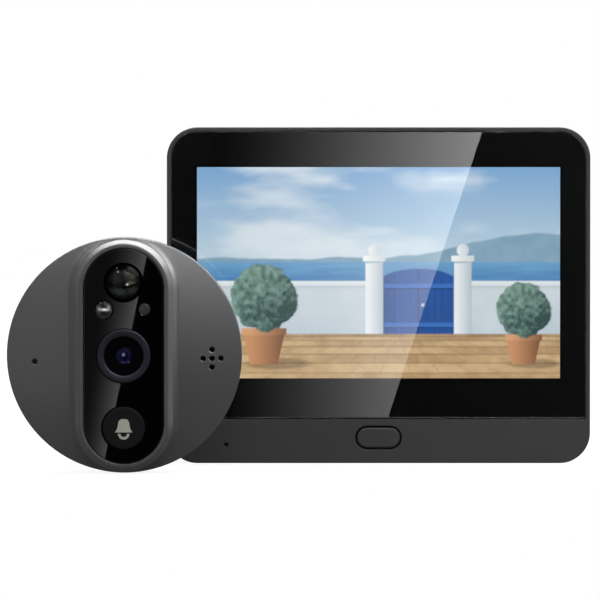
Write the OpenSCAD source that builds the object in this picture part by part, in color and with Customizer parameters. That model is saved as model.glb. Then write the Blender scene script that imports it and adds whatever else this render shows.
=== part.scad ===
// Peephole door camera: a round outdoor camera unit standing in front of its indoor monitor.
// Millimetres, +Z up. Both units face -Y and stand on Z = 0.
// Each unit is drawn lying on its back: its own X to the right, Y up its face and Z out to the front.

/* [Camera housing] */
// Diameter of the round camera housing
cam_d = 60; // [58:0.5:66]
// Depth of the straight rim of the housing
cam_rim = 9; // [8.5:0.25:12]
// Rise of the domed face above the rim
cam_dome = 4.5; // [3.5:0.25:5.5]
// Wall of the camera housing
cam_wall = 2; // [1.6:0.1:2.2]
// Height of the lip round the front panel above the crown of the dome
lip_rise = 2.5; // [1.5:0.1:4]
// Width of the lip round the front panel
lip_w = 0.9; // [0.6:0.1:1.4]
// Spread of the ridge's flank for each millimetre of depth
ridge_run = 0.62; // [0.4:0.02:0.9]
// Thickness of the camera's rear cover
cam_cover_t = 2; // [1.6:0.1:2.6]
// Distance from the camera's back to the front of the monitor
cam_gap = 36; // [30:1:60]
// Distance from the monitor's side to the middle of the camera
cam_out = 10; // [8:0.2:60]

/* [Camera panel] */
// Width of the pill-shaped front panel
panel_w = 20.4; // [19.8:0.2:21.6]
// Height of the pill-shaped front panel
panel_h = 54.9; // [54:0.1:55.6]
// Thickness of the front panel
panel_t = 1.5; // [1.2:0.1:2]
// Depth of the panel below the lip
panel_recess = 0.4; // [0.2:0.1:0.8]
// Height of the motion sensor above the lens
pir_y = 18.7; // [18:0.1:19]
// Radius of the motion sensor's lens
pir_r = 4.4; // [4:0.1:4.8]
// Rise of the motion sensor's lens above the panel
pir_rise = 1.4; // [0.8:0.1:2]
// Distance of the night light from the middle line
led_x = 5; // [4.8:0.1:5.3]
// Height of the night light above the lens
led_y = 11.8; // [11.4:0.1:12.2]
// Radius of the night light's reflector
led_r = 2.05; // [1.6:0.05:2.2]
// Distance of the light sensor's window from the middle line
light_x = 5.3; // [4.8:0.1:5.8]
// Height of the light sensor's window above the lens
light_y = 11.9; // [11.5:0.1:12.4]
// Radius of the light sensor's window
light_r = 1.45; // [1.2:0.05:1.7]
// Outer radius of the ring round the lens
lens_ring_r = 6.85; // [6.4:0.05:7.1]
// Radius of the lens barrel inside the ring
lens_barrel_r = 4.9; // [4.5:0.1:5.2]
// Radius of the front glass of the lens
lens_eye_r = 2.3; // [1.8:0.1:2.8]
// Height of the bell button below the lens
bell_y = 18.35; // [17.6:0.05:19]
// Radius of the bell button
bell_r = 5.5; // [5:0.1:5.8]
// Travel of the bell button
bell_travel = 0.5; // [0.3:0.1:0.6]

/* [Camera sound and mounting] */
// Distance of the speaker holes from the edge of the housing
speaker_in = 7.6; // [7:0.1:8.4]
// Distance between neighbouring speaker holes
speaker_pitch = 2.26; // [1.9:0.02:2.6]
// Radius of each sound hole in the camera housing
sound_hole_r = 0.7; // [0.5:0.05:0.9]
// Radius of the camera's speaker
speaker_r = 4.4; // [4:0.1:4.6]
// Distance of the microphone hole from the edge of the housing
mic_in = 7.2; // [6.6:0.1:8]
// Radius of the threaded barrel that passes through the door
barrel_r = 7; // [6.5:0.1:7.5]
// Radius of the cable bore in the barrel
barrel_bore = 4.75; // [4:0.05:5.5]
// Length of the barrel behind the camera
barrel_len = 50; // [30:1:80]
// Outer radius of the foam pad on the camera's back
pad_r = 20.5; // [14:0.5:21.5]
// Thickness of the foam pad
pad_t = 1.5; // [1:0.1:3]

/* [Monitor case] */
// Width of the monitor
mon_w = 110.8; // [98:0.2:126]
// Height of the monitor
mon_h = 87.9; // [78:0.1:100]
// Depth of the monitor
mon_t = 19; // [18.5:0.25:24]
// Corner radius of the monitor
mon_r = 8; // [6.5:0.25:9]
// Depth of the front frame
frame_d = 11; // [10.5:0.25:12]
// Wall of the monitor case
mon_wall = 2; // [1.6:0.1:2.2]
// Width of the rim round the glass
rim_w = 1; // [0.8:0.05:1.2]
// Height of the plain band under the glass
band_h = 11.75; // [11.4:0.05:12.6]
// How far the rear cover draws in at its back
taper = 3.6; // [2:0.2:4.4]
// Thickness of the rear cover's back wall
back_wall = 1.8; // [1.5:0.1:2]

/* [Monitor screen and button] */
// Width of the black border on each side of the lit screen
screen_side = 7.88; // [7:0.02:12]
// Width of the black border under the lit screen
screen_low = 10.45; // [8:0.05:14]
// Width of the black border over the lit screen, with the rim
screen_top = 10.4; // [8:0.05:14]
// Thickness of the cover glass
glass_t = 1.05; // [0.8:0.05:1.3]
// Width of the pill-shaped monitor button
key_w = 11.3; // [9:0.1:14]
// Height of the pill-shaped monitor button
key_h = 5.3; // [4.4:0.1:5.6]
// Height of the monitor button above the foot
key_y = 6.67; // [6.4:0.01:7]
// Gap round the monitor button
key_gap = 0.4; // [0.2:0.05:0.5]
// Travel of the monitor button
key_travel = 0.5; // [0.3:0.1:0.6]
// Distance of the monitor's microphone from its left side
mon_mic_in = 15.5; // [14.4:0.1:24]
// Height of the charging socket above the foot
usb_y = 30; // [24:0.5:34]
// Height of the power switch above the foot
power_y = 48; // [44:0.5:60]
// Travel of the power switch
power_travel = 2.5; // [1.5:0.1:3]

/* [Door bracket] */
// Width of the door bracket
bracket_w = 72; // [64:1:80]
// Height of the door bracket
bracket_h = 49; // [48:1:54]
// Thickness of the bracket's sheet steel
bracket_t = 1.5; // [1.2:0.1:2]
// Height of the clamp nut's axis above the middle of the monitor
nut_up = 6.05; // [5:0.05:8]
// Outer radius of the clamp nut
nut_r = 11; // [10:0.1:11.4]
// Thickness of the clamp nut
nut_t = 4.8; // [4:0.1:5]
// Distance of the door screws from the bracket's sides
door_in_x = 5; // [4:0.1:6]
// Distance of the door screws from the bracket's upper and lower edge
door_in_y = 4; // [3.5:0.1:4.5]
// Radius of the door screw holes
door_hole_r = 2.1; // [1.6:0.1:2.4]
// Travel that unhooks the bracket
unhook = 5; // [4.5:0.1:6]

/* [Hidden] */
$fn = 64;
eps = 0.05;

// Clearances: fixed pieces in their seats, screws in their holes, moving pieces
slip = 0.1;
screw_fit = 0.03;
run_gap = 0.2;
hang_gap = 0.3;

camera_grey = "#464648";
case_charcoal = "#38383a";
black = "#101012";
steel = "#b9bcc0";
board_green = "#1f5a3a";

// Camera levels, counted from the face of its rear cover
cam_side = mon_w / 2 + cam_out;
cam_r = cam_d / 2;
dome_r = (cam_r * cam_r + cam_dome * cam_dome) / (2 * cam_dome);
dome_z = cam_rim + cam_dome - dome_r;
lip_z = cam_rim + cam_dome + lip_rise;
panel_front = lip_z - panel_recess;
panel_back = panel_front - panel_t;
gasket_t = 0.5;
ledge_z = panel_back - gasket_t;
ledge_w = 1.2;
opening_w = panel_w - 2 * ledge_w;
opening_h = panel_h - 2 * ledge_w;
seal_t = 0.6;
seal_w = 1;
seal_z = cam_cover_t + seal_t;
cover_r = cam_r - cam_wall - slip;
hollow_r = cam_r - cam_wall - seal_w;

// Camera board, level with the pill opening, on posts of the rear cover
cam_post_h = 5;
cam_board_t = 1.2;
cam_board_w = opening_w - 2 * hang_gap;
cam_board_h = opening_h - 2 * hang_gap;
cam_board_z = cam_cover_t + cam_post_h;
cam_board_top = cam_board_z + cam_board_t;
cam_post_r = 1.8;
cam_post_low = 10.5;
cam_post_x = 6;
cam_posts = [
    [0, cam_board_h / 2 - cam_post_r, 0],
    [-cam_post_x, -cam_post_low, 0],
    [cam_post_x, -cam_post_low, 0]
];
small_screw_r = 0.8;
small_head_r = 1.5;
small_head_t = 0.8;
small_screw_len = 5;

// Camera cover screws
boss_r = 2.6;
screw_r = 1;
head_r = 1.9;
head_t = 1.2;
cam_screw_len = 6;
cam_head_depth = 1.3;
cam_screw_at = [for (a = [45 : 90 : 315]) (hollow_r - boss_r + run_gap) * [cos(a), sin(a), 0]];

// Sound: the driver and the microphone sit in cups under the domed face
cup_wall = 0.9;
speaker_t = 3;
mesh_t = 0.2;
speaker_x = cam_r - speaker_in;
speaker_y = -0.8;
speaker_at = [speaker_x, speaker_y, 0];
speaker_seat = dome_under(norm(speaker_at) + speaker_r);
speaker_back = speaker_seat - mesh_t - speaker_t;
mic_x = mic_in - cam_r;
mic_y = -1.6;
mic_at = [mic_x, mic_y, 0];
mic_r = 2;
mic_t = 2;
boot_wall = 0.7;
boot_front = 0.6;
mic_seat = dome_under(norm(mic_at) + mic_r + boot_wall);
mic_back = mic_seat - boot_front - mic_t;
mic_port_r = 0.5;

// Pieces that come through the front panel
flange_w = 0.8;
flange_t = 0.8;
pir_wall = 0.6;
pir_can_r = 3.2;
pir_can_h = 3.4;
lens_proud = 0.5;
lens_set_back = 0.3;
lens_cone = 1.7;
lens_edge = 0.4;
holder_w = 12.6;
holder_h = 3;
sensor_w = 4;
sensor_t = 0.6;
lens_front = panel_front - lens_set_back;
lens_back = cam_board_top + sensor_t + run_gap;
eye_t = 1.4;
pir_sink = 0.6;
led_sink = 0.35;
eye_rise = 0.3;
light_stem_r = 1;
light_chip_t = 0.8;
emitter_r = 1.3;
led_edge = 0.2;

// Push switches: a body on the board and a plunger that the button drives
switch_w = 6;
switch_h = 3;
plunger_r = 1.6;
plunger_rise = 0.8;
plunger_root = 0.3;
plunger_floor = 0.3;
bell_front = panel_front + slip;
bell_flange_front = panel_back - run_gap;
bell_stem_r = 2.2;
bell_mark_t = 0.12;

barrel_neck_w = 0.6;
barrel_flange_w = 2.5;
barrel_flange_t = 1.4;
pad_clear = 2;
ribbon_w = 10;
ribbon_h = 4.4;
ribbon_t = 2;
socket_wall = 1;

// Monitor levels, counted from the face of its rear cover
split_z = mon_t - frame_d;
mon_back_y = split_z + frame_d / 2;
glass_recess = 0.15;
glass_front = mon_t - glass_recess;
glass_back = glass_front - glass_t;
mask_t = 0.1;
pocket_z = glass_back - mask_t;
cell_t = 1.4;
backlight_t = 1.7;
cell_back = pocket_z - cell_t;
lcd_back = cell_back - backlight_t;
frame_in_z = lcd_back - slip;
band_front = 2.5;
band_in_z = mon_t - band_front;
pocket_low_r = 0.6;
pocket_r = mon_r - rim_w;
pocket_w = mon_w - 2 * rim_w;
pocket_top = mon_h - rim_w;
screen_w = mon_w - 2 * screen_side;
screen_h = mon_h - band_h - screen_low - screen_top;
screen_y0 = band_h + screen_low;
lcd_side = 5.1;
lcd_low = 5.15;
lcd_top = 6.6;
lcd_w = screen_w + 2 * lcd_side;
lcd_h = screen_h + lcd_low + lcd_top;
lcd_y0 = screen_y0 - lcd_low;

// Monitor board and its fixings
board_lift = 0.4;
board_t = 1.2;
board_z = split_z + board_lift;
board_top = board_z + board_t;
board_gap = 2.9;
board_half = mon_w / 2 - mon_wall - board_gap;
column_in_x = 7.9;
column_x = mon_w / 2 - column_in_x;
column_low = 7;
column_top = mon_h - column_in_x;
column_r = 3.2;
frame_boss_r = 2.8;
column_at = [for (x = [-column_x, column_x], y = [column_low, column_top]) [x, y, 0]];
mon_head_z = 2.8;
mon_screw_len = 8.4;
post_r = 2.2;
post_in_x = 14.4;
post_x = mon_w / 2 - post_in_x;
post_low = 10.5;
post_in_top = 11.4;
post_top = mon_h - post_in_top;
post_at = [for (x = [-post_x, post_x], y = [post_low, post_top]) [x, y, 0]];
board_screw_len = 5;
board_low = 3.2;
board_in_top = 8.5;
board_high = mon_h - board_in_top;
board_narrow = column_x - column_r - run_gap;
board_wide_low = 13;
board_wide_in = 15;
board_wide_high = mon_h - board_wide_in;
corner_wall = 2;
rear_in = mon_wall + corner_wall;

// Monitor parts on the board
key_front = mon_t + slip;
key_flange_w = 1.1;
key_flange_front = band_in_z - hang_gap;
key_flange_t = 1;
mon_switch_h = 4;
mon_mic_x = mon_w / 2 - mon_mic_in;
mon_mic_y = 4.84;
mon_mic_hole_r = 0.52;
mon_mic_r = 1.9;
mon_mic_wall = 0.6;
band_in_low = mon_wall;
band_ledge = 0.5;
band_in_high = band_h - band_ledge;
band_boss_wall = 0.6;
band_in_x = column_x - frame_boss_r - band_boss_wall;
battery_t = 4.2;
battery_w = 27;
battery_in = 9.4;
battery_gap = 2.3;
battery_x = battery_in - mon_w / 2;
battery_y = 16;
battery_h = post_top - post_r - battery_gap - battery_y;
mon_speaker_r = 9;
mon_speaker_t = 4;
mon_speaker_in = 22.4;
mon_speaker_x = mon_w / 2 - mon_speaker_in;
mon_speaker_y = 20;
grille_pitch = 2.6;
grille_r = 0.75;
grille_rings = 2.1;
speaker_rim_h = 2;
usb_w = 8.94;
usb_t = 3.26;
usb_wall = 0.35;
usb_depth = 7.4;
usb_floor = 1;
usb_in = 1;
usb_tongue_w = 6.6;
usb_tongue_t = 0.7;
power_w = 9;
power_h = 3.4;
power_d = 6.4;
power_knob_w = 3;
power_knob_t = 1.8;
power_in = 0.5;
power_root = 1;

// Door bracket, hooked into the back of the monitor
nut_y = mon_h / 2 + nut_up;
bracket_gap = 0.4;
bracket_z = -bracket_gap - bracket_t;
bracket_r = 4;
barrel_hole_gap = 1.5;
barrel_hole_r = barrel_r + barrel_hole_gap;
door_pitch_x = bracket_w - 2 * door_in_x;
door_pitch_y = bracket_h - 2 * door_in_y;
hook_in = 9;
hook_x = bracket_w / 2 - hook_in;
hook_w = 8;
hook_lip = 4;
hook_lip_t = 1;
hook_z = back_wall + hang_gap;
hook_below = 14;
hook_above = 16;
hook_low = nut_y - hook_below;
hook_high = nut_y + hook_above;
hook_at = [for (x = [-hook_x, hook_x], y = [hook_low, hook_high]) [x, y, 0]];
nut_lift = 0.15;
nut_z = nut_lift - bracket_gap;
thread_fit = 0.05;
nut_bore = barrel_r + thread_fit;
nut_notch_w = 2.4;
nut_notch_d = 1.2;
cage_wall = 1.9;
cage_r = nut_r + run_gap + cage_wall;
cage_lip_z = nut_z + nut_t + run_gap;
cage_lip_t = 1;
cage_lip_w = 1.6;
recess_wall = 1.4;
recess_top = split_z - recess_wall;
recess_room = 1;
recess_r = cage_r + recess_room;
plug_w = 18;
plug_above = 26;
plug_top = nut_y + plug_above;
socket_w = 13;
socket_h = 4.8;
socket_t = 4;

// Height of the underside of the domed face at a radius from the middle of the camera
function dome_under(r) = dome_z + sqrt(pow(dome_r - cam_wall, 2) - r * r);

// Turns a unit upright with its back at a depth and its face towards -Y
module upright(x, back_y, z) {
    translate([x, back_y, z]) rotate([90, 0, 0]) children();
}

module at_camera() {
    upright(-cam_side, mon_back_y - mon_t - cam_gap, cam_r) children();
}

module at_monitor() {
    upright(0, mon_back_y, 0) children();
}

// Turns a shape drawn on XY so that it runs along +X, with its own X up and its own Y to the front
module sideways() {
    rotate([90, 0, 90]) children();
}

module disc(r, z0, z1) {
    translate([0, 0, z0]) cylinder(r = r, h = z1 - z0);
}

module ring(outer_r, inner_r, z0, z1) {
    difference() {
        disc(outer_r, z0, z1);
        disc(inner_r, z0 - eps, z1 + eps);
    }
}

module slab(x0, x1, y0, y1, z0, z1) {
    translate([x0, y0, z0]) cube([x1 - x0, y1 - y0, z1 - z0]);
}

// A block of a width and a height, centred on x = 0 and y = 0
module block(w, h, z0, z1) {
    slab(-w / 2, w / 2, -h / 2, h / 2, z0, z1);
}

// An upright bar with round ends
module pill(w, h, z0, z1) {
    translate([0, 0, z0]) linear_extrude(z1 - z0) {
        square([w, h - w], center = true);
        for (s = [-1, 1]) translate([0, s * (h - w) / 2]) circle(d = w);
    }
}

// The same bar lying along X
module flat_pill(w, h, z0, z1) {
    rotate([0, 0, 90]) pill(h, w, z0, z1);
}

// A plate that stands on y = 0, with round corners
module plate(w, y0, y1, r, z0, z1) {
    translate([0, 0, z0]) linear_extrude(z1 - z0) {
        translate([-w / 2 + r, y0]) square([w - 2 * r, y1 - y0]);
        translate([-w / 2, y0 + r]) square([w, y1 - y0 - 2 * r]);
        for (x = [-w / 2 + r, w / 2 - r], y = [y0 + r, y1 - r]) translate([x, y]) circle(r = r);
    }
}

// A plate with large top corners and small lower corners, for the glass
module glass_plate(inset, z0, z1) {
    w = pocket_w - 2 * inset;
    y0 = band_h + inset;
    y1 = pocket_top - inset;
    r = pocket_r - inset;
    low = pocket_low_r;
    translate([0, 0, z0]) linear_extrude(z1 - z0) {
        translate([-w / 2 + low, y0]) square([w - 2 * low, low]);
        translate([-w / 2, y0 + low]) square([w, y1 - y0 - low - r]);
        translate([-w / 2 + r, y1 - r]) square([w - 2 * r, r]);
        for (s = [-1, 1]) translate([s * (w / 2 - low), y0 + low]) circle(r = low);
        for (s = [-1, 1]) translate([s * (w / 2 - r), y1 - r]) circle(r = r);
    }
}

// Screw along Z: the head's seat is at z = 0, the shank runs up from it
module screw(shank_r, length, cap_r, cap_t) {
    disc(shank_r, 0, length);
    disc(cap_r, -cap_t, 0);
}

// The housing's domed disc without its ridge
module housing_dome() {
    intersection() {
        disc(cam_r, 0, lip_z);
        translate([0, 0, dome_z]) sphere(r = dome_r);
    }
}

// The ridge that carries the panel: a bar with round ends and sloping flanks, cut off at the disc's edge
module housing_ridge() {
    top_r = panel_w / 2 + lip_w;
    foot_z = cam_rim - 1;
    rise = lip_z - foot_z;
    foot_r = top_r + ridge_run * rise;
    run = panel_h - panel_w;
    intersection() {
        disc(cam_r, 0, lip_z + 1);
        union() {
            for (s = [-1, 1]) {
                translate([0, s * run / 2, foot_z]) cylinder(r1 = foot_r, r2 = top_r, h = rise);
            }
            translate([0, run / 2, foot_z]) rotate([90, 0, 0]) linear_extrude(run)
                polygon([[-foot_r, 0], [foot_r, 0], [top_r, rise], [-top_r, rise]]);
        }
    }
}

// The room inside the housing, less the screw bosses and the two sound cups
module housing_hollow() {
    difference() {
        intersection() {
            disc(hollow_r, seal_z - eps, lip_z);
            translate([0, 0, dome_z]) sphere(r = dome_r - cam_wall);
        }
        for (p = cam_screw_at) translate(p) disc(boss_r, 0, lip_z);
        translate(speaker_at) disc(speaker_r + slip + cup_wall, speaker_back, lip_z);
        translate(mic_at) disc(mic_r + boot_wall + slip + cup_wall, mic_back, lip_z);
    }
}

module speaker_holes(r, z0, z1) {
    for (d = [[0, 0], [1, 0], [-1, 0], [0, 1], [0, -1]]) {
        translate(speaker_at + speaker_pitch * [d.x, d.y, 0]) disc(r, z0, z1);
    }
}

module camera_shell() {
    color(camera_grey) at_camera() difference() {
        union() {
            housing_dome();
            housing_ridge();
        }
        disc(cover_r + slip, -1, seal_z);
        housing_hollow();
        pill(opening_w, opening_h, seal_z, lip_z);
        pill(panel_w + 2 * slip, panel_h + 2 * slip, ledge_z, lip_z + 1);
        for (p = cam_screw_at) {
            translate(p) disc(screw_r + screw_fit, seal_z - eps, cam_head_depth + cam_screw_len + run_gap);
        }
        translate(speaker_at) disc(speaker_r + slip, speaker_back - eps, speaker_seat);
        speaker_holes(sound_hole_r, speaker_seat - eps, lip_z);
        translate(mic_at) disc(mic_r + boot_wall + slip, mic_back - eps, mic_seat);
        translate(mic_at) disc(sound_hole_r, mic_seat - eps, lip_z);
    }
}

module camera_cover() {
    color(camera_grey) at_camera() difference() {
        union() {
            disc(cover_r, 0, cam_cover_t);
            for (p = cam_posts) translate(p) disc(cam_post_r, cam_cover_t - eps, cam_board_z);
        }
        disc(barrel_r + barrel_neck_w + slip, -1, cam_cover_t + 1);
        for (p = cam_posts) {
            tip = cam_board_top - small_screw_len - run_gap;
            translate(p) disc(small_screw_r + screw_fit, tip, cam_board_z + 1);
        }
        for (p = cam_screw_at) {
            translate(p) disc(head_r + slip, -1, cam_head_depth);
            translate(p) disc(screw_r + slip, 0, cam_cover_t + 1);
        }
    }
}

module rear_seal() {
    color("#202022") at_camera() ring(cover_r, hollow_r + slip, cam_cover_t, seal_z);
}

module door_pad() {
    color("#2c2c2e") at_camera() ring(pad_r, barrel_r + pad_clear, -pad_t, 0);
}

// The threaded tube for the door, with a plain neck through the pad and a flange inside the cover
module barrel() {
    color(steel) at_camera() difference() {
        union() {
            disc(barrel_r, -barrel_len, eps - pad_t);
            disc(barrel_r + barrel_neck_w, -pad_t, cam_cover_t + eps);
            disc(barrel_r + barrel_flange_w, cam_cover_t, cam_cover_t + barrel_flange_t);
        }
        disc(barrel_bore, -barrel_len - 1, cam_cover_t + barrel_flange_t + 1);
    }
}

// A hole through the panel, its front edge sunk at 45 degrees
module sunk_hole(r, sink) {
    disc(r, panel_back - 1, lip_z);
    translate([0, 0, panel_front - sink]) cylinder(r1 = r, r2 = r + sink + eps, h = sink + eps);
}

module front_panel() {
    color(black) at_camera() difference() {
        pill(panel_w, panel_h, panel_back, panel_front);
        translate([0, pir_y, 0]) sunk_hole(pir_r + slip, pir_sink);
        translate([-led_x, led_y, 0]) sunk_hole(led_r + slip, led_sink);
        translate([light_x, light_y, 0]) disc(light_r + slip, panel_back - 1, lip_z);
        disc(lens_ring_r + slip, panel_back - 1, lip_z);
        translate([0, -bell_y, 0]) disc(bell_r + run_gap, panel_back - 1, lip_z);
    }
}

module panel_gasket() {
    color("#1a1a1c") at_camera() difference() {
        pill(panel_w, panel_h, ledge_z, panel_back);
        pill(opening_w, opening_h, ledge_z - 1, panel_back + 1);
    }
}

// A hollow dome on a neck, with a flange behind the panel
module pir_lens() {
    cap_z = panel_front - run_gap;
    cap_h = pir_rise + run_gap;
    cap_r = (pir_r * pir_r + cap_h * cap_h) / (2 * cap_h);
    cap_c = cap_z + cap_h - cap_r;
    color("#9a9a96") at_camera() translate([0, pir_y, 0]) difference() {
        union() {
            disc(pir_r + flange_w, panel_back - flange_t, panel_back);
            disc(pir_r, panel_back - eps, cap_z);
            intersection() {
                disc(pir_r, cap_z - eps, cap_z + cap_h + 1);
                translate([0, 0, cap_c]) sphere(r = cap_r);
            }
        }
        intersection() {
            disc(pir_r - pir_wall, panel_back - flange_t - 1, cap_z + cap_h);
            translate([0, 0, cap_c]) sphere(r = cap_r - pir_wall);
        }
        disc(pir_r - pir_wall, panel_back - flange_t - 1, cap_z - pir_wall);
    }
}

// The sensor's metal can on a thin brim
module pir_sensor() {
    brim_w = 0.6;
    brim_t = 0.4;
    color(steel) at_camera() translate([0, pir_y, 0]) {
        disc(pir_can_r, cam_board_top, cam_board_top + pir_can_h);
        disc(pir_can_r + brim_w, cam_board_top, cam_board_top + brim_t);
    }
}

module led_reflector() {
    foot = panel_back - flange_t;
    depth = panel_front - foot + 2 * eps;
    color("#d8d8d6") at_camera() translate([-led_x, led_y, 0]) difference() {
        union() {
            disc(led_r + flange_w, foot, panel_back);
            disc(led_r, foot, panel_front);
        }
        translate([0, 0, foot - eps]) cylinder(r1 = emitter_r, r2 = led_r - led_edge, h = depth);
    }
}

// The clear resin that fills the reflector, with a domed front
module led_lens() {
    foot = panel_back - flange_t + run_gap;
    top_r = led_r - 2 * led_edge;
    dome = 2.4;
    color("#e8ecef") at_camera() translate([-led_x, led_y, 0]) {
        translate([0, 0, foot]) cylinder(r1 = emitter_r - slip, r2 = top_r, h = panel_front - foot);
        intersection() {
            disc(top_r, panel_front, lip_z + 1);
            translate([0, 0, panel_front - sqrt(dome * dome - top_r * top_r)]) sphere(r = dome);
        }
    }
}

module led_emitter() {
    color("#e6d68a") at_camera() translate([-led_x, led_y, 0]) {
        disc(emitter_r, cam_board_top, panel_back - flange_t);
    }
}

// A clear rod that carries daylight from the panel to the sensor on the board
module light_guide() {
    color("#4a464f") at_camera() translate([light_x, light_y, 0]) {
        disc(light_r, panel_back, panel_front - slip);
        disc(light_stem_r, cam_board_top + light_chip_t, panel_back + eps);
    }
}

module light_sensor() {
    chip = 2 * light_stem_r;
    color("#d9d2b0") at_camera() translate([light_x, light_y, 0]) {
        block(chip, chip, cam_board_top, cam_board_top + light_chip_t);
    }
}

module lens_ring() {
    color("#26242a") at_camera() difference() {
        union() {
            disc(lens_ring_r + flange_w, panel_back - flange_t, panel_back);
            disc(lens_ring_r, panel_back - flange_t, panel_front + lens_proud);
        }
        disc(lens_barrel_r + slip, panel_back - flange_t - 1, panel_front + lens_proud + 1);
    }
}

// The lens tube, with a black cone that narrows to the front glass
module lens_barrel() {
    color(black) at_camera() difference() {
        disc(lens_barrel_r, lens_back, lens_front);
        disc(lens_eye_r + screw_fit, lens_back - 1, lens_front);
        translate([0, 0, lens_front - lens_cone]) {
            cylinder(r1 = lens_eye_r + screw_fit, r2 = lens_barrel_r - lens_edge, h = lens_cone + eps);
        }
    }
}

module lens_eye() {
    eye_z = lens_front - lens_cone;
    eye_cap = (lens_eye_r * lens_eye_r + eye_rise * eye_rise) / (2 * eye_rise);
    color("#27406e") at_camera() {
        disc(lens_eye_r, eye_z - eye_t, eye_z);
        intersection() {
            disc(lens_eye_r, eye_z, eye_z + eye_rise);
            translate([0, 0, eye_z + eye_rise - eye_cap]) sphere(r = eye_cap);
        }
    }
}

module lens_holder() {
    color("#1c1c1e") at_camera() difference() {
        block(holder_w, holder_w, cam_board_top, cam_board_top + holder_h);
        disc(lens_barrel_r + screw_fit, cam_board_top - 1, cam_board_top + holder_h + 1);
    }
}

module image_sensor() {
    color("#5b4f6a") at_camera() block(sensor_w, sensor_w, cam_board_top, cam_board_top + sensor_t);
}

module bell_cap() {
    color("#151516") at_camera() translate([0, -bell_y, 0]) {
        disc(bell_r, bell_flange_front - flange_t, bell_front);
        disc(bell_r + flange_w, bell_flange_front - flange_t, bell_flange_front);
        disc(bell_stem_r, plunger_tip(cam_board_top, switch_h), bell_flange_front - flange_t + eps);
    }
}

// A plain bell sign: crown, flared body, foot bar and a half ring below for the clapper
module bell_mark() {
    crown_r = 1.25;
    crown_y = 1.15;
    foot_y = -0.65;
    foot_w = 4.3;
    foot_h = 0.5;
    waist_w = 3.2;
    clapper_r = 1.6;
    clapper_w = 0.75;
    clapper_gap = 0.25;
    clapper_y = foot_y - foot_h - clapper_gap;
    color("#a5a59b") at_camera() translate([0, -bell_y, bell_front]) linear_extrude(bell_mark_t) {
        translate([0, crown_y]) circle(r = crown_r);
        polygon([
            [-crown_r, crown_y], [-waist_w / 2, foot_y], [waist_w / 2, foot_y], [crown_r, crown_y]
        ]);
        translate([-foot_w / 2, foot_y - foot_h]) square([foot_w, foot_h + eps]);
        intersection() {
            translate([0, clapper_y]) difference() {
                circle(r = clapper_r);
                circle(r = clapper_r - clapper_w);
            }
            translate([-clapper_r, clapper_y - clapper_r]) square([2 * clapper_r, clapper_r]);
        }
    }
}

// Height of a plunger's tip above a board
function plunger_tip(top, height) = top + height + plunger_rise;

module plunger(top, height) {
    disc(plunger_r, top + height - plunger_root, plunger_tip(top, height));
}

// A switch body with a well that is deep enough for the plunger's travel
module push_switch(top, height, travel) {
    well = plunger_root + travel + plunger_floor;
    difference() {
        block(switch_w, switch_w, top, top + height);
        disc(plunger_r + slip, top + height - well, top + height + 1);
    }
}

module bell_plunger() {
    color("#0e0e0e") at_camera() translate([0, -bell_y, 0]) plunger(cam_board_top, switch_h);
}

module bell_switch() {
    color(steel) at_camera() translate([0, -bell_y, 0]) push_switch(cam_board_top, switch_h, bell_travel);
}

module camera_board() {
    color(board_green) at_camera() difference() {
        pill(cam_board_w, cam_board_h, cam_board_z, cam_board_top);
        for (p = cam_posts) {
            translate(p) disc(small_screw_r + slip, cam_board_z - 1, cam_board_top + 1);
        }
    }
}

// Processor and memory on the back of the camera board
module camera_chips() {
    chip_t = 0.9;
    processor_w = 7;
    processor_y = 12;
    memory_w = 5;
    memory_h = 4;
    memory_y = -20;
    color("#18181a") at_camera() {
        translate([0, processor_y, 0]) block(processor_w, processor_w, cam_board_z - chip_t, cam_board_z);
        translate([0, memory_y, 0]) block(memory_w, memory_h, cam_board_z - chip_t, cam_board_z);
    }
}

// The socket for the ribbon cable, facing down the bore of the barrel
module ribbon_socket() {
    slot_h = 1;
    slot_w = ribbon_w - 2 * socket_wall;
    color("#e9e4d6") at_camera() difference() {
        block(ribbon_w, ribbon_h, cam_board_z - ribbon_t, cam_board_z);
        block(slot_w, slot_h, cam_board_z - ribbon_t - 1, cam_board_z - ribbon_t / 2);
    }
}

module camera_speaker() {
    surround_w = 1;
    cone_r = speaker_r - surround_w;
    cone_d = 0.6;
    front = speaker_seat - mesh_t;
    color("#3a3a3c") at_camera() translate(speaker_at) difference() {
        disc(speaker_r, speaker_back, front);
        translate([0, 0, front - cone_d]) cylinder(r1 = cone_r / 2, r2 = cone_r, h = cone_d + eps);
    }
}

module speaker_mesh() {
    color("#0c0c0c") at_camera() translate(speaker_at) disc(speaker_r, speaker_seat - mesh_t, speaker_seat);
}

module camera_mic() {
    color("#c9c9c9") at_camera() translate(mic_at) disc(mic_r, mic_back, mic_back + mic_t);
}

// A rubber boot with a sound port, round a microphone
module mic_boot(capsule_r, wall, back, capsule_t, front) {
    difference() {
        disc(capsule_r + wall, back, front);
        disc(capsule_r, back - eps, back + capsule_t);
        disc(mic_port_r, back, front + 1);
    }
}

module camera_mic_boot() {
    color("#1e1e20") at_camera() translate(mic_at) mic_boot(mic_r, boot_wall, mic_back, mic_t, mic_seat);
}

module camera_cover_screws() {
    color(steel) at_camera() for (p = cam_screw_at) {
        translate(p + [0, 0, cam_head_depth]) screw(screw_r, cam_screw_len, head_r, head_t);
    }
}

module camera_board_screws() {
    color(steel) at_camera() for (p = cam_posts) {
        translate(p + [0, 0, cam_board_top]) mirror([0, 0, 1]) {
            screw(small_screw_r, small_screw_len, small_head_r, small_head_t);
        }
    }
}

// The opening in the frame's side wall for the charging socket, or the socket's own outline
module usb_outline(grow, x0, x1) {
    translate([x0, usb_y, board_top + usb_t / 2]) sideways() {
        flat_pill(usb_w + 2 * grow, usb_t + 2 * grow, 0, x1 - x0);
    }
}

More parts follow.
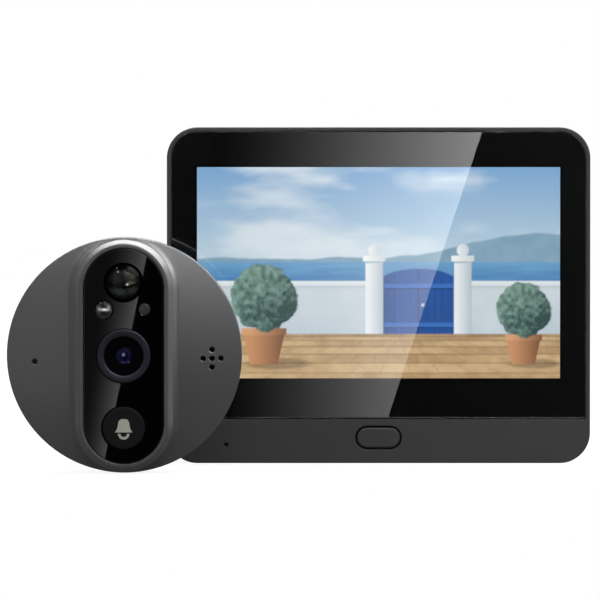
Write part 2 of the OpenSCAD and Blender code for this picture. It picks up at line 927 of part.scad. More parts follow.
module front_frame() {
    side = mon_w / 2;
    slot = power_knob_w + power_travel + 2 * hang_gap;
    knob_z = board_top + power_h / 2;
    inner_w = mon_w - 2 * mon_wall;
    screw_end = mon_head_z + mon_screw_len;
    color(case_charcoal) at_monitor() difference() {
        plate(mon_w, 0, mon_h, mon_r, split_z, mon_t);
        glass_plate(0, pocket_z, mon_t + 1);
        translate([0, lcd_y0 + lcd_h / 2, 0]) block(lcd_w + 2 * slip, lcd_h + 2 * slip, split_z - 1, mon_t);
        difference() {
            plate(inner_w, mon_wall, mon_h - mon_wall, mon_r - mon_wall, split_z - 1, frame_in_z);
            for (p = column_at) translate(p) disc(frame_boss_r, split_z - 2, frame_in_z);
        }
        slab(-band_in_x, band_in_x, band_in_low, band_in_high, split_z, band_in_z);
        for (p = column_at) translate(p) disc(screw_r + screw_fit, split_z - 1, screw_end + run_gap);
        translate([0, key_y, 0]) {
            flat_pill(key_w + 2 * key_gap, key_h + 2 * key_gap, band_in_z - 1, mon_t + 1);
        }
        translate([-mon_mic_x, mon_mic_y, 0]) disc(mon_mic_hole_r, band_in_z - 1, mon_t + 1);
        usb_outline(run_gap, side - mon_wall - 1, side + 1);
        slab(
            side - mon_wall - 1, side + 1, power_y - slot + power_knob_w / 2 + hang_gap,
            power_y + power_knob_w / 2 + hang_gap,
            knob_z - power_knob_t / 2 - hang_gap, knob_z + power_knob_t / 2 + hang_gap
        );
    }
    color(case_charcoal) at_monitor() frame_ribs();
}

// Ribs that tie the upper screw bosses to the side walls
module frame_ribs() {
    rib_t = 1.4;
    for (s = [-1, 1]) {
        x0 = column_x + frame_boss_r - run_gap;
        x1 = mon_w / 2 - mon_wall + eps;
        translate([0, column_top, 0]) {
            slab(min(s * x0, s * x1), max(s * x0, s * x1), -rib_t / 2, rib_t / 2, split_z, frame_in_z);
        }
    }
}

module cover_glass() {
    color("#1b1d20") at_monitor() glass_plate(slip, glass_back, glass_front);
}

// The black print behind the glass, open over the lit screen
module glass_mask() {
    color(black) at_monitor() difference() {
        glass_plate(slip, pocket_z, glass_back);
        slab(-screen_w / 2, screen_w / 2, screen_y0, screen_y0 + screen_h, pocket_z - 1, glass_back + 1);
    }
}

module lcd_cell() {
    color("#7fa6cd") at_monitor() slab(-lcd_w / 2, lcd_w / 2, lcd_y0, lcd_y0 + lcd_h, cell_back, pocket_z);
}

module lcd_backlight() {
    color("#dcdcd8") at_monitor() slab(-lcd_w / 2, lcd_w / 2, lcd_y0, lcd_y0 + lcd_h, lcd_back, cell_back);
}

module key_cap() {
    flange_back = key_flange_front - key_flange_t;
    color(case_charcoal) at_monitor() translate([0, key_y, 0]) {
        flat_pill(key_w, key_h, flange_back, key_front);
        flat_pill(key_w + 2 * key_flange_w, key_h + 2 * key_flange_w, flange_back, key_flange_front);
        disc(bell_stem_r, plunger_tip(board_top, mon_switch_h), flange_back + eps);
    }
}

module key_plunger() {
    color("#0e0e0e") at_monitor() translate([0, key_y, 0]) plunger(board_top, mon_switch_h);
}

module key_switch() {
    color(steel) at_monitor() translate([0, key_y, 0]) push_switch(board_top, mon_switch_h, key_travel);
}

module monitor_board() {
    color(board_green) at_monitor() difference() {
        union() {
            slab(-board_narrow, board_narrow, board_low, board_high, board_z, board_top);
            slab(-board_half, board_half, board_wide_low, board_wide_high, board_z, board_top);
        }
        for (p = post_at) translate(p) disc(screw_r + slip, board_z - 1, board_top + 1);
    }
}

// Processor, memory and the shielded radio on the front of the monitor board
module monitor_chips() {
    chip_t = 1.2;
    chip_row = 12;
    chip_y = 46;
    processor_w = 12;
    memory_w = 9;
    radio_x = 30;
    radio_y = 60;
    radio_w = 13;
    radio_h = 16;
    radio_t = 2.2;
    color("#18181a") at_monitor() {
        translate([-chip_row, chip_y, 0]) block(processor_w, processor_w, board_top, board_top + chip_t);
        translate([chip_row / 2, chip_y, 0]) block(memory_w, processor_w, board_top, board_top + chip_t);
        translate([-radio_x, radio_y, 0]) block(radio_w, radio_h, board_top, board_top + radio_t);
        translate([2 * chip_row, radio_y, 0]) block(memory_w, memory_w, board_top, board_top + chip_t);
    }
}

module battery() {
    color("#c9c4b8") at_monitor() {
        slab(
            battery_x, battery_x + battery_w, battery_y, battery_y + battery_h,
            board_z - battery_t, board_z
        );
    }
}

module monitor_speaker() {
    surround_w = 1.5;
    cone_r = mon_speaker_r - surround_w;
    cone_d = 1.2;
    color("#2e2e30") at_monitor() translate([mon_speaker_x, mon_speaker_y, 0]) difference() {
        disc(mon_speaker_r, back_wall, back_wall + mon_speaker_t);
        translate([0, 0, back_wall - eps]) cylinder(r1 = cone_r, r2 = cone_r / 3, h = cone_d);
    }
}

module monitor_mic() {
    color("#c9c9c9") at_monitor() translate([-mon_mic_x, mon_mic_y, 0]) {
        disc(mon_mic_r, board_top, band_in_z - boot_front);
    }
}

module monitor_mic_boot() {
    color("#1e1e20") at_monitor() translate([-mon_mic_x, mon_mic_y, 0]) {
        mic_boot(mon_mic_r, mon_mic_wall, board_top, band_in_z - boot_front - board_top, band_in_z);
    }
}

module usb_socket() {
    mouth = mon_w / 2 - usb_in;
    root = mouth - usb_depth;
    color(steel) at_monitor() {
        difference() {
            usb_outline(0, root, mouth);
            usb_outline(-usb_wall, root + usb_floor, mouth + 1);
        }
        translate([root + usb_floor - eps, usb_y, board_top + usb_t / 2]) sideways() {
            block(usb_tongue_w, usb_tongue_t, 0, usb_depth - 2 * usb_floor);
        }
    }
}

module power_switch() {
    outer = mon_w / 2 - mon_wall - run_gap;
    knob_z = board_top + power_h / 2;
    y0 = power_y - power_travel - power_knob_w / 2 - run_gap;
    y1 = power_y + power_knob_w / 2 + run_gap;
    z0 = knob_z - power_knob_t / 2 - run_gap;
    z1 = knob_z + power_knob_t / 2 + run_gap;
    middle = power_y - power_travel / 2;
    color(steel) at_monitor() difference() {
        translate([outer - power_d / 2, middle, 0]) block(power_d, power_w, board_top, board_top + power_h);
        slab(outer - power_root - run_gap, outer + 1, y0, y1, z0, z1);
    }
}

module power_knob() {
    outer = mon_w / 2 - mon_wall - run_gap;
    knob_z = board_top + power_h / 2;
    color("#111112") at_monitor() {
        slab(
            outer - power_root, mon_w / 2 - power_in, power_y - power_knob_w / 2, power_y + power_knob_w / 2,
            knob_z - power_knob_t / 2, knob_z + power_knob_t / 2
        );
    }
}

// One outline of the rear cover, drawn in by an inset at its sides and top, and at its foot by a lift
module cover_outline(inset, lift, z) {
    translate([0, 0, z]) linear_extrude(eps) {
        hull() {
            for (s = [-1, 1], y = [lift + mon_r, mon_h - inset - mon_r]) {
                translate([s * (mon_w / 2 - inset - mon_r), y]) circle(r = mon_r, $fn = 48);
            }
        }
    }
}

// The rear cover's outside: straight at the seam, then rounded in a quarter ellipse to a flat back
module cover_outside() {
    steps = 5;
    foot_lift = 0.9;
    hull() for (i = [0 : steps]) {
        a = 90 * i / steps;
        inset = taper * (1 - cos(a));
        lift = foot_lift * (1 - cos(a));
        cover_outline(inset, lift, (split_z - eps) * (1 - sin(a)));
    }
}

// The recess behind the bracket: a round end for the nut, which drops as the bracket unhooks,
// and a square end for the cable's plug
module rear_recess(grow, z0, z1) {
    translate([0, nut_y - unhook / 2, 0]) {
        pill(2 * (recess_r + grow), 2 * (recess_r + grow) + unhook, z0, z1);
    }
    slab(-plug_w / 2 - grow, plug_w / 2 + grow, nut_y, plug_top + grow, z0, z1);
}

module grille_holes(z0, z1) {
    for (i = [-2 : 2], j = [-2 : 2]) {
        p = grille_pitch * [i + j / 2, j * sqrt(3) / 2, 0];
        if (norm(p) < grille_rings * grille_pitch) {
            translate(p + [mon_speaker_x, mon_speaker_y, 0]) disc(grille_r, z0, z1);
        }
    }
}

module rear_cover() {
    side_in = rear_in + taper / 2;
    cavity_w = mon_w - 2 * side_in;
    cavity_low = mon_wall;
    cavity_top = mon_h - side_in;
    slot_low = unhook + bracket_t;
    rim_r = mon_speaker_r + slip;
    color(case_charcoal) at_monitor() difference() {
        cover_outside();
        difference() {
            plate(cavity_w, cavity_low, cavity_top, mon_r - mon_wall, back_wall, split_z + 1);
            for (p = column_at) translate(p) disc(column_r, back_wall - 1, split_z + 2);
            for (p = post_at) translate(p) disc(post_r, back_wall - 1, board_z);
            translate([mon_speaker_x, mon_speaker_y, 0]) {
                ring(rim_r + cup_wall, rim_r, back_wall - 1, back_wall + speaker_rim_h);
            }
            rear_recess(recess_wall, back_wall - 1, split_z + 2);
        }
        rear_recess(0, -1, recess_top);
        for (p = column_at) {
            translate(p) disc(head_r + run_gap, -1, mon_head_z);
            translate(p) disc(screw_r + slip, 0, split_z + 1);
        }
        for (p = post_at) {
            translate(p) disc(screw_r + screw_fit, board_top - board_screw_len - run_gap, board_z + 1);
        }
        for (p = hook_at) translate(p) {
            slab(
                -hook_w / 2 - hang_gap, hook_w / 2 + hang_gap, -slot_low, bracket_t + hang_gap,
                -1, back_wall + 1
            );
        }
        grille_holes(-1, back_wall + 1);
    }
    color(case_charcoal) at_monitor() for (p = post_at) translate(p) {
        ring(post_r, screw_r + screw_fit, split_z - eps, board_z);
    }
}

// The socket for the cable's plug, on the floor of the recess
module cable_socket() {
    y1 = plug_top - run_gap;
    color("#e9e4d6") at_monitor() translate([0, y1 - socket_h, 0]) difference() {
        slab(-socket_w / 2, socket_w / 2, 0, socket_h, recess_top - socket_t, recess_top);
        slab(
            socket_wall - socket_w / 2, socket_w / 2 - socket_wall, socket_wall, socket_h - socket_wall,
            recess_top - socket_t - 1, recess_top - socket_wall
        );
    }
}

module cover_screws() {
    color(steel) at_monitor() for (p = column_at) {
        translate(p + [0, 0, mon_head_z]) screw(screw_r, mon_screw_len, head_r, head_t);
    }
}

module board_screws() {
    color(steel) at_monitor() for (p = post_at) {
        translate(p + [0, 0, board_top]) mirror([0, 0, 1]) screw(screw_r, board_screw_len, head_r, head_t);
    }
}

// A hook: a neck through the cover's back wall and a lip that stands up behind it
module hook() {
    slab(-hook_w / 2, hook_w / 2, 0, bracket_t, bracket_z + bracket_t - eps, hook_z + hook_lip_t);
    slab(-hook_w / 2, hook_w / 2, 0, bracket_t + hook_lip, hook_z, hook_z + hook_lip_t);
}

module door_bracket() {
    color(steel) at_monitor() {
        difference() {
            translate([0, nut_y, 0]) plate(
                bracket_w, -bracket_h / 2, bracket_h / 2, bracket_r, bracket_z, bracket_z + bracket_t
            );
            translate([0, nut_y, 0]) disc(barrel_hole_r, bracket_z - 1, 0);
            for (x = [-1, 1], y = [-1, 1]) {
                translate([x * door_pitch_x / 2, nut_y + y * door_pitch_y / 2, 0]) {
                    disc(door_hole_r, bracket_z - 1, 0);
                }
            }
        }
        for (p = hook_at) translate(p) hook();
    }
}

// The cage that keeps the nut on the bracket and lets it turn
module nut_cage() {
    foot = bracket_z + bracket_t;
    top = cage_lip_z + cage_lip_t;
    color(steel) at_monitor() translate([0, nut_y, 0]) difference() {
        disc(cage_r, foot, top);
        disc(nut_r + run_gap, foot - 1, cage_lip_z);
        disc(nut_r - cage_lip_w, foot - 1, top + 1);
    }
}

// The threaded ring, with cross notches for a key
module clamp_nut() {
    top = nut_z + nut_t;
    notch_end = nut_r - cage_lip_w - run_gap;
    color("#c8b070") at_monitor() translate([0, nut_y, 0]) difference() {
        disc(nut_r, nut_z, top);
        disc(nut_bore, nut_z - 1, top + 1);
        for (a = [0 : 90 : 270]) rotate([0, 0, a]) {
            slab(-nut_notch_w / 2, nut_notch_w / 2, 0, notch_end, top - nut_notch_d, top + 1);
        }
    }
}

camera_shell();
camera_cover();
rear_seal();
door_pad();
barrel();
front_panel();
panel_gasket();
pir_lens();
pir_sensor();
led_reflector();
led_lens();
led_emitter();
light_guide();
light_sensor();
lens_ring();
lens_barrel();
lens_eye();
lens_holder();
image_sensor();
bell_cap();
bell_mark();
bell_plunger();
bell_switch();
camera_board();
camera_chips();
ribbon_socket();
camera_speaker();
speaker_mesh();
camera_mic();
camera_mic_boot();
camera_cover_screws();
camera_board_screws();
front_frame();
cover_glass();
glass_mask();
lcd_cell();
lcd_backlight();
key_cap();
key_plunger();
key_switch();
monitor_board();
monitor_chips();
battery();
monitor_speaker();
monitor_mic();
monitor_mic_boot();
usb_socket();
power_switch();
power_knob();
rear_cover();
cable_socket();
cover_screws();
board_screws();
door_bracket();
nut_cage();
clamp_nut();
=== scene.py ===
"""Looks of a peephole door camera: a round camera unit for the outside of a door, beside its indoor monitor.

Each unit is worked out in millimetres in a frame of its own: x to the right, y up its face, z from its back
to its front. placed() stands that frame upright in the shared one, in metres.
"""
import math

import bmesh
import bpy
import numpy as np
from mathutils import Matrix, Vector
from mathutils.geometry import tessellate_polygon

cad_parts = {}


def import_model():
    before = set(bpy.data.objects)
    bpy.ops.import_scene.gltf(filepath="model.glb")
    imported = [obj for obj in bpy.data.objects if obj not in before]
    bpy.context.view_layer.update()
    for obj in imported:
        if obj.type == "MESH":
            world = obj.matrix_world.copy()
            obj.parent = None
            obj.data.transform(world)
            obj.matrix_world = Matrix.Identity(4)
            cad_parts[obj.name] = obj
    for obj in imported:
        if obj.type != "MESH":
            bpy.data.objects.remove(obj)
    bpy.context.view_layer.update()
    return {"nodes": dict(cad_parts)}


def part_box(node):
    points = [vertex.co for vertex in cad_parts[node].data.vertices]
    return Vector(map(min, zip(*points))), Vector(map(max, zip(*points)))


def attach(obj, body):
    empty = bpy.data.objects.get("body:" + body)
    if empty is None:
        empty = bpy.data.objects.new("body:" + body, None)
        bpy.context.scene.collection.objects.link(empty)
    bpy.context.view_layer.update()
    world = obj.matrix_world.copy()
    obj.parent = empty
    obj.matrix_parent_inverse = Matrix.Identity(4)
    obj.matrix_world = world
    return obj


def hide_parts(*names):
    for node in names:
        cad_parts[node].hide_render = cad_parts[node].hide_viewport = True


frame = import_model()

MM = 0.001
SHARP = math.radians(38)
low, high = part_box("camera_shell")
CAMERA = np.array([(low.x + high.x) / 2, high.y, (low.z + high.z) / 2])
low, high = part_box("rear_cover")
MONITOR = np.array([(low.x + high.x) / 2, high.y, low.z])

# Camera unit, in mm
DISC_R = 30.0
DISC_EDGE = 0.3
DOME_R = 102.25
DOME_TOP = 13.5
PANEL_W, PANEL_H = 20.4, 54.9
PANEL_BACK, PANEL_FRONT, PANEL_GAP = 14.1, 15.6, 0.1
LEDGE_Z, LIP_Z, LIP_W, LIP_ROUND = 13.6, 16.0, 0.8, 0.12
# Ridge flank: the tilts of its band and foot in degrees, and how much the foot's eases at the ends
BAND_TILT, FOOT_TILT, FOOT_EASE = 52.0, 52.0, 27.0
FLANK_W, STEP_AT, STEP_W, STEP_SHADE = 2.6, 1.25, 0.16, 0.3
PIR_AT, PIR_R = (0.0, 18.7), 4.4
LED_AT, LED_R = (-5.0, 11.8), 2.05
LIGHT_AT, LIGHT_R = (5.3, 11.9), 1.45
RING_R, RING_IN = 6.85, 5.0
BELL_AT, BELL_R, BELL_Z = (0.0, -18.35), 5.5, 15.7
SPEAKER_AT, SPEAKER_STEP, MIC_AT, HOLE_R = (22.4, -0.8), 2.26, (-22.8, -1.6), 0.7
COVER_R, COVER_T, COVER_SCREW_OUT = 27.9, 2.0, 24.6
BARREL_R, BARREL_BORE, BARREL_END, THREAD_PITCH = 7.0, 4.75, -50.0, 1.5

# Monitor, in mm
MON_W, MON_H, MON_R, MON_SEAM, MON_FRONT = 110.8, 87.9, 8.0, 8.0, 19.0
GLASS_X, GLASS_LOW, GLASS_TOP, GLASS_R = 54.4, 11.75, 86.9, 7.0
SCREEN_X, SCREEN_LOW, SCREEN_TOP = 47.52, 22.2, 77.5
CELL_Z, PICTURE_Z, INK_Z, GLASS_Z = (16.32, 17.64), 17.68, (17.73, 17.79), (17.83, 18.85)
KEY_AT, KEY_W, KEY_H, KEY_GAP = (0.0, 6.67), 11.3, 5.3, 0.4
MON_MIC_AT, MON_MIC_R, MIC_PLAY = (-39.9, 4.84), 0.52, 0.03
USB_AT, POWER_AT = (30.0, 11.23), (46.75, 11.3)
WELLS = [(x, y) for x in (-47.5, 47.5) for y in (7, 80)]
SCREW_R, SCREW_RISE, SHANK_R = 1.9, 1.2, 0.9
NUT_Y = 50.0

WHITE = (1, 1, 1, 1)


def rgb(code):
    """An sRGB hex colour as linear red, green, blue and alpha."""
    value = np.array([int(code[i:i + 2], 16) for i in (1, 3, 5)]) / 255
    return (*np.where(value <= 0.04045, value / 12.92, ((value + 0.055) / 1.055) ** 2.4), 1.0)


def add(tree, kind, inputs=None, **settings):
    """Adds a shader node with its own settings; an input is a value or the output socket that feeds it."""
    node = tree.nodes.new("ShaderNode" + kind)
    for key, value in settings.items():
        setattr(node, key, value)
    for key, value in (inputs or {}).items():
        if isinstance(value, bpy.types.NodeSocket):
            tree.links.new(value, node.inputs[key])
        else:
            node.inputs[key].default_value = value
    return node


def blank(name):
    """A material with an empty node tree."""
    material = bpy.data.materials.new(name)
    material.use_nodes = True
    material.node_tree.nodes.clear()
    return material, material.node_tree


def surfaced(material, inputs, shader):
    """Gives a material its surface from the inputs, and from the shader's own settings by name."""
    tree = material.node_tree
    inputs.update({key.replace("_", " "): value for key, value in shader.items()})
    surface = add(tree, "BsdfPrincipled", inputs)
    add(tree, "OutputMaterial", {"Surface": surface.outputs["BSDF"]})
    return material


def grained(name, tones, grain, rough, relief=0.0, **shader):
    """A finish from one noise of the given grain in mm: it runs the colour between two tones and the
    roughness between two values, and raises the surface by the relief in mm."""
    material, tree = blank(name)
    at = add(tree, "TexCoord").outputs["Object"]
    grains = add(tree, "TexNoise", {"Vector": at, "Scale": 1 / (grain * MM), "Detail": 3.0}).outputs["Fac"]
    tone = add(tree, "Mix", {0: grains, 6: rgb(tones[0]), 7: rgb(tones[1])}, data_type="RGBA")
    inputs = {"Base Color": tone.outputs[2], "Roughness": rough[0]}
    if rough[0] != rough[1]:
        inputs["Roughness"] = add(tree, "MapRange", {"Value": grains, "From Min": 0.3, "From Max": 0.7,
                                                     "To Min": rough[0], "To Max": rough[1]}).outputs[0]
    if relief:
        bump = add(tree, "Bump", {"Height": grains, "Distance": relief * MM, "Strength": 1.0})
        inputs["Normal"] = bump.outputs["Normal"]
    return surfaced(material, inputs, shader)


def turned(name, tone, centre, pitch, rough, **shader):
    """A lathe-turned finish: rings of the given pitch in mm about the front axis through centre run the
    roughness and a slight relief, with a fine noise so that no two rings are alike."""
    material, tree = blank(name)
    at = add(tree, "TexCoord").outputs["Object"]
    local = add(tree, "Mapping", {"Vector": at, "Location": tuple(-np.asarray(centre))}).outputs["Vector"]
    scale = 0.05 / (pitch * MM) * 2 * math.pi
    rings = add(tree, "TexWave", {"Vector": local, "Scale": scale, "Distortion": 0.6, "Detail": 2.0},
                wave_type="RINGS", rings_direction="Y").outputs["Fac"]
    gloss = add(tree, "MapRange", {"Value": rings, "To Min": rough[0], "To Max": rough[1]}).outputs[0]
    bump = add(tree, "Bump", {"Height": rings, "Distance": 0.004 * MM, "Strength": 0.5}).outputs["Normal"]
    return surfaced(material, {"Base Color": rgb(tone), "Roughness": gloss, "Normal": bump}, shader)


def placed(points, unit):
    """Unit millimetres to the shared frame: x stays, z goes towards the viewer and y goes up."""
    points = np.asarray(points, float)
    return unit + MM * np.stack([points[:, 0], -points[:, 2], points[:, 1]], 1)


def put(name, data):
    """Stands an object with the data in the scene."""
    made = bpy.data.objects.new(name, data)
    bpy.context.scene.collection.objects.link(made)
    return made


def heading(angle):
    """Unit directions at the angles."""
    return np.stack([np.cos(angle), np.sin(angle)], 1)


def at_height(points, z):
    """Flat points with a height, one for all or one each."""
    return np.column_stack([points, np.broadcast_to(z, len(points))])


def quads(rows, cols, ring_rows=False, ring_cols=True):
    """Faces between neighbours of a grid of rows and columns, either way joined into a ring."""
    r, c = np.meshgrid(np.arange(rows if ring_rows else rows - 1),
                       np.arange(cols if ring_cols else cols - 1), indexing="ij")
    r_next, c_next = (r + 1) % rows, (c + 1) % cols
    corners = [r * cols + c, r * cols + c_next, r_next * cols + c_next, r_next * cols + c]
    return np.stack(corners, -1).reshape(-1, 4)


def skin(grid, ring=False):
    """A smooth surface over a grid of points whose rows are closed loops; with ring, the last row meets the
    first."""
    return grid.reshape(-1, 3), quads(*grid.shape[:2], ring_rows=ring), True


def circle(radius, centre=(0.0, 0.0), count=96):
    """Outline of a circle: its points and outward directions."""
    out = heading(2 * np.pi * np.arange(count) / count)
    return radius * out + centre, out


def pill(width, height, centre=(0.0, 0.0), arc=40, side=1):
    """Outline of a pill: two half circles of the shorter side, drawn apart by the straight runs between
    them."""
    flat = width > height
    radius, run = min(width, height) / 2, abs(height - width) / 2
    half = np.linspace(0, np.pi, arc + 1)
    line = np.linspace(1, -1, side + 1)[1:-1]
    angle = np.concatenate([half, np.full(line.size, np.pi), half + np.pi, np.full(line.size, 2 * np.pi)])
    shift = run * np.concatenate([np.ones(half.size), line, -np.ones(half.size), -line])
    out = heading(angle)
    points = radius * out + np.stack([np.zeros(shift.size), shift], 1)
    if flat:
        points, out = (np.stack([a[:, 1], -a[:, 0]], 1) for a in (points, out))
    return points + centre, out


def slab(left, right, bottom, top, corner_low, corner_top=None, arc=12):
    """Outline of a rounded rectangle: a quarter circle at each corner, the lower and upper radii apart."""
    corner_top = corner_low if corner_top is None else corner_top
    quarter = np.linspace(0, np.pi / 2, arc + 1)
    angle = np.concatenate([quarter + k * np.pi / 2 for k in range(4)])
    radius = np.repeat([corner_top, corner_top, corner_low, corner_low], arc + 1)
    x = np.repeat([right - corner_top, left + corner_top, left + corner_low, right - corner_low], arc + 1)
    y = np.repeat([top - corner_top, top - corner_top, bottom + corner_low, bottom + corner_low], arc + 1)
    out = heading(angle)
    return np.stack([x, y], 1) + radius[:, None] * out, out


def sweep(outline, profile, ring=False):
    """A profile of (outward step, height) pairs carried round an outline: point + step x outward, at the
    height."""
    points, out = outline
    profile = np.asarray(profile, float)
    flat = points[None] + profile[:, :1, None] * out[None]
    height = np.broadcast_to(profile[:, 1, None, None], flat.shape[:2] + (1,))
    return skin(np.concatenate([flat, height], 2), ring)


def lathe(profile, centre=(0.0, 0.0), count=96, ring=False):
    """A profile of (radius, height) pairs turned about the front axis through centre."""
    return sweep(circle(0.0, centre, count), profile, ring)


def eased(z0, z1, first, last, side=-1, steps=6):
    """Profile of a wall from z0 to z1 with a quarter round at each end, drawn in (side -1) or out (side
    1)."""
    a = np.linspace(0, np.pi / 2, steps + 1)
    way = math.copysign(1, z1 - z0)
    begin = np.stack([side * first * (1 - np.sin(a)), z0 + way * first * (1 - np.cos(a))], 1)
    end = np.stack([side * last * (1 - np.cos(a)), z1 - way * last * (1 - np.sin(a))], 1)
    return np.vstack([begin, end])


def cap(loops, z):
    """A flat face at height z between an outer loop and the loops of its holes."""
    faces = tessellate_polygon([[Vector((x, y, 0)) for x, y in loop] for loop in loops])
    points = np.concatenate(loops)
    return at_height(points, z), np.array(faces), False


def plate(outline, z0, z1, back_edge, front_edge, holes=()):
    """A flat plate: an eased wall round its outline, a wall with a chamfer of its own round each hole, and
    two faces between the walls' ends."""
    walls = [(outline, eased(z0, z1, back_edge, front_edge, -1))]
    walls += [(hole, np.array([(0, z0), (0, z1 - edge), (edge, z1)])) for hole, edge in holes]
    ends = [[points + profile[row, 0] * out for (points, out), profile in walls] for row in (0, -1)]
    return [sweep(*wall) for wall in walls] + [cap(ends[0], z0), cap(ends[1], z1)]


def crease(mesh):
    """Makes edges sharp past one angle, and keeps flat faces flat."""
    smooth = np.empty(len(mesh.polygons), bool)
    mesh.polygons.foreach_get("use_smooth", smooth)
    mesh.set_sharp_from_angle(angle=SHARP)
    mesh.polygons.foreach_set("use_smooth", smooth)


def solid(name, surfaces, unit):
    """One mesh from surfaces that meet at their ends: shared points merged, faces turned outwards, flat
    faces kept flat and the rest smooth up to an angle."""
    starts = np.cumsum([0] + [len(points) for points, _, _ in surfaces])
    mesh = bpy.data.meshes.new(name)
    mesh.from_pydata(placed(np.concatenate([s[0] for s in surfaces]), unit).tolist(), [],
                     [face for s, start in zip(surfaces, starts) for face in (s[1] + start).tolist()])
    mesh.polygons.foreach_set("use_smooth", np.concatenate([np.full(len(s[1]), s[2]) for s in surfaces]))
    shape = bmesh.new()
    shape.from_mesh(mesh)
    bmesh.ops.remove_doubles(shape, verts=shape.verts, dist=0.001 * MM)
    bmesh.ops.recalc_face_normals(shape, faces=shape.faces)
    shape.to_mesh(mesh)
    shape.free()
    crease(mesh)
    return put(name, mesh)


def fit(made, finish, body, slot, *nodes):
    """Gives a piece its finish, sets it on its body and lets it stand for the nodes."""
    made.data.materials.clear()
    made.data.materials.append(finish)
    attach(made, body)
    if nodes:
        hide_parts(*nodes)
    return made


def cut(made, cutters):
    """Takes the cutters' volumes out of a piece and applies the cut."""
    for cutter in cutters:
        bite = made.modifiers.new("cut", "BOOLEAN")
        bite.object, bite.solver = cutter, "EXACT"
        with bpy.context.temp_override(object=made, active_object=made):
            bpy.ops.object.modifier_apply(modifier=bite.name)
        bpy.data.meshes.remove(cutter.data)
    crease(made.data)


def eased_copy(name, node, width):
    """A copy of a CAD solid with its loose triangles merged, its flat faces joined and its sharp edges
    bevelled."""
    mesh = frame["nodes"][node].data.copy()
    mesh.name = name
    shape = bmesh.new()
    shape.from_mesh(mesh)
    bmesh.ops.remove_doubles(shape, verts=shape.verts, dist=0.001 * MM)
    bmesh.ops.dissolve_limit(shape, angle_limit=math.radians(0.5), verts=shape.verts, edges=shape.edges)
    for face in shape.faces:
        face.smooth = True
    shape.to_mesh(mesh)
    shape.free()
    mesh.set_sharp_from_angle(angle=SHARP)
    made = put(name, mesh)
    bevel = made.modifiers.new("eased edges", "BEVEL")
    bevel.width, bevel.segments, bevel.limit_method = width * MM, 2, "ANGLE"
    bevel.angle_limit, bevel.harden_normals = SHARP, True
    return made


# Finishes

# Fine grain, turning marks and weave are drawn coarser than in life where they would not show

# Satin paint sprayed on moulded ABS: a soft wide highlight over a fine orange peel
satin_paint = grained("satin_grey_paint_sprayed", ("#424244", "#464648"), 0.5, (0.33, 0.37), 0.0015)
# ABS from a spark-eroded mould: an even matt grain that breaks the light up
charcoal_abs = grained("charcoal_abs_spark_grained", ("#39393b", "#3f3f41"), 0.35, (0.48, 0.58), 0.006,
                       Specular_IOR_Level=0.2)
# Cast acrylic, polished: black depth under a clear reflection, a trace of wiping marks
black_acrylic = grained("black_acrylic_polished", ("#010102", "#030304"), 9.0, (0.0, 0.012), IOR=1.49)
# Ceramic ink screened on the glass: black, slightly dusty
black_ink = grained("black_ceramic_ink_screened", ("#0c0c0c", "#0e0e0e"), 0.4, (0.5, 0.6),
                    Specular_IOR_Level=0.02)
# Aluminium, anodised dark: turned rings that catch a thin light
dark_anodised = turned("dark_aluminium_anodised", "#1f1d26", placed([(0, 0, LIP_Z)], CAMERA)[0], 0.18,
                       (0.38, 0.46), Metallic=0.75)
# Matt black lacquer inside a lens tube
tube_black = grained("black_lacquer_lens_tube", ("#010103", "#030305"), 0.3, (0.4, 0.55), 0.002,
                     Specular_IOR_Level=0.02)
# Chrome on a moulded bowl: a mirror with a slight haze
bright_chrome = grained("bright_chrome_vacuum_plated", ("#d6d7d8", "#e6e6e4"), 0.6, (0.06, 0.12),
                        Metallic=1.0)
# Tinted polycarbonate window, moulded: violet grey, half gloss
tinted_window = grained("tinted_polycarbonate_moulded", ("#302f36", "#35343b"), 0.7, (0.25, 0.35),
                        Specular_IOR_Level=0.2)
# Soft-touch black moulding of the bell button
bell_black = grained("black_abs_fine_grained", ("#0a0a0b", "#0e0e0f"), 0.25, (0.5, 0.6), 0.003,
                     Specular_IOR_Level=0.08)
# Pale pad-printed paint of the bell sign
pale_print = grained("pale_paint_pad_printed", ("#9c9d93", "#ababa0"), 0.2, (0.5, 0.6), 0.004)
# Closed-cell foam, die cut: small open bubbles on its cut face
cut_foam = grained("closed_cell_foam_die_cut", ("#2b2c2d", "#3a3b3c"), 0.45, (0.85, 0.95), 0.06)
# Nickel plate on a rolled thread
nickel_plate = grained("nickel_plate_rolled_thread", ("#a7a6a2", "#bcbbb6"), 1.2, (0.22, 0.34), Metallic=1.0)
# Zinc plate on pressed steel: faint cloudy spangle
zinc_plate = grained("zinc_plated_steel_pressed", ("#8d9092", "#a9acae"), 3.0, (0.3, 0.46), Metallic=1.0)
# Brass, turned: warm, slightly dulled
turned_brass = grained("brass_turned", ("#b08d4f", "#c4a05c"), 0.8, (0.24, 0.36), Metallic=1.0)
# Steel screws, black oxide
black_oxide = grained("black_oxide_steel", ("#2a2a2c", "#38383a"), 0.4, (0.34, 0.46), Metallic=0.9)
# Drawn steel shell of sockets, cans and shields
bright_steel = grained("steel_tinned_drawn", ("#a9abac", "#bfc1c1"), 0.8, (0.25, 0.38), Metallic=1.0)
# Silicone and foam seals
black_rubber = grained("black_silicone_moulded", ("#161617", "#1c1c1d"), 0.5, (0.6, 0.72), 0.004)
# Solder mask over copper: a green lacquer with faint cloudy copper under it
green_mask = grained("green_solder_mask", ("#1c5a35", "#26703f"), 2.0, (0.3, 0.4), 0.006)
# Epoxy moulded round chips
black_epoxy = grained("black_epoxy_moulded", ("#1b1b1c", "#232324"), 0.3, (0.5, 0.62), 0.004)
# Nylon of cable sockets
ivory_nylon = grained("ivory_nylon_moulded", ("#d3ccb6", "#dcd6c3"), 0.6, (0.4, 0.5))
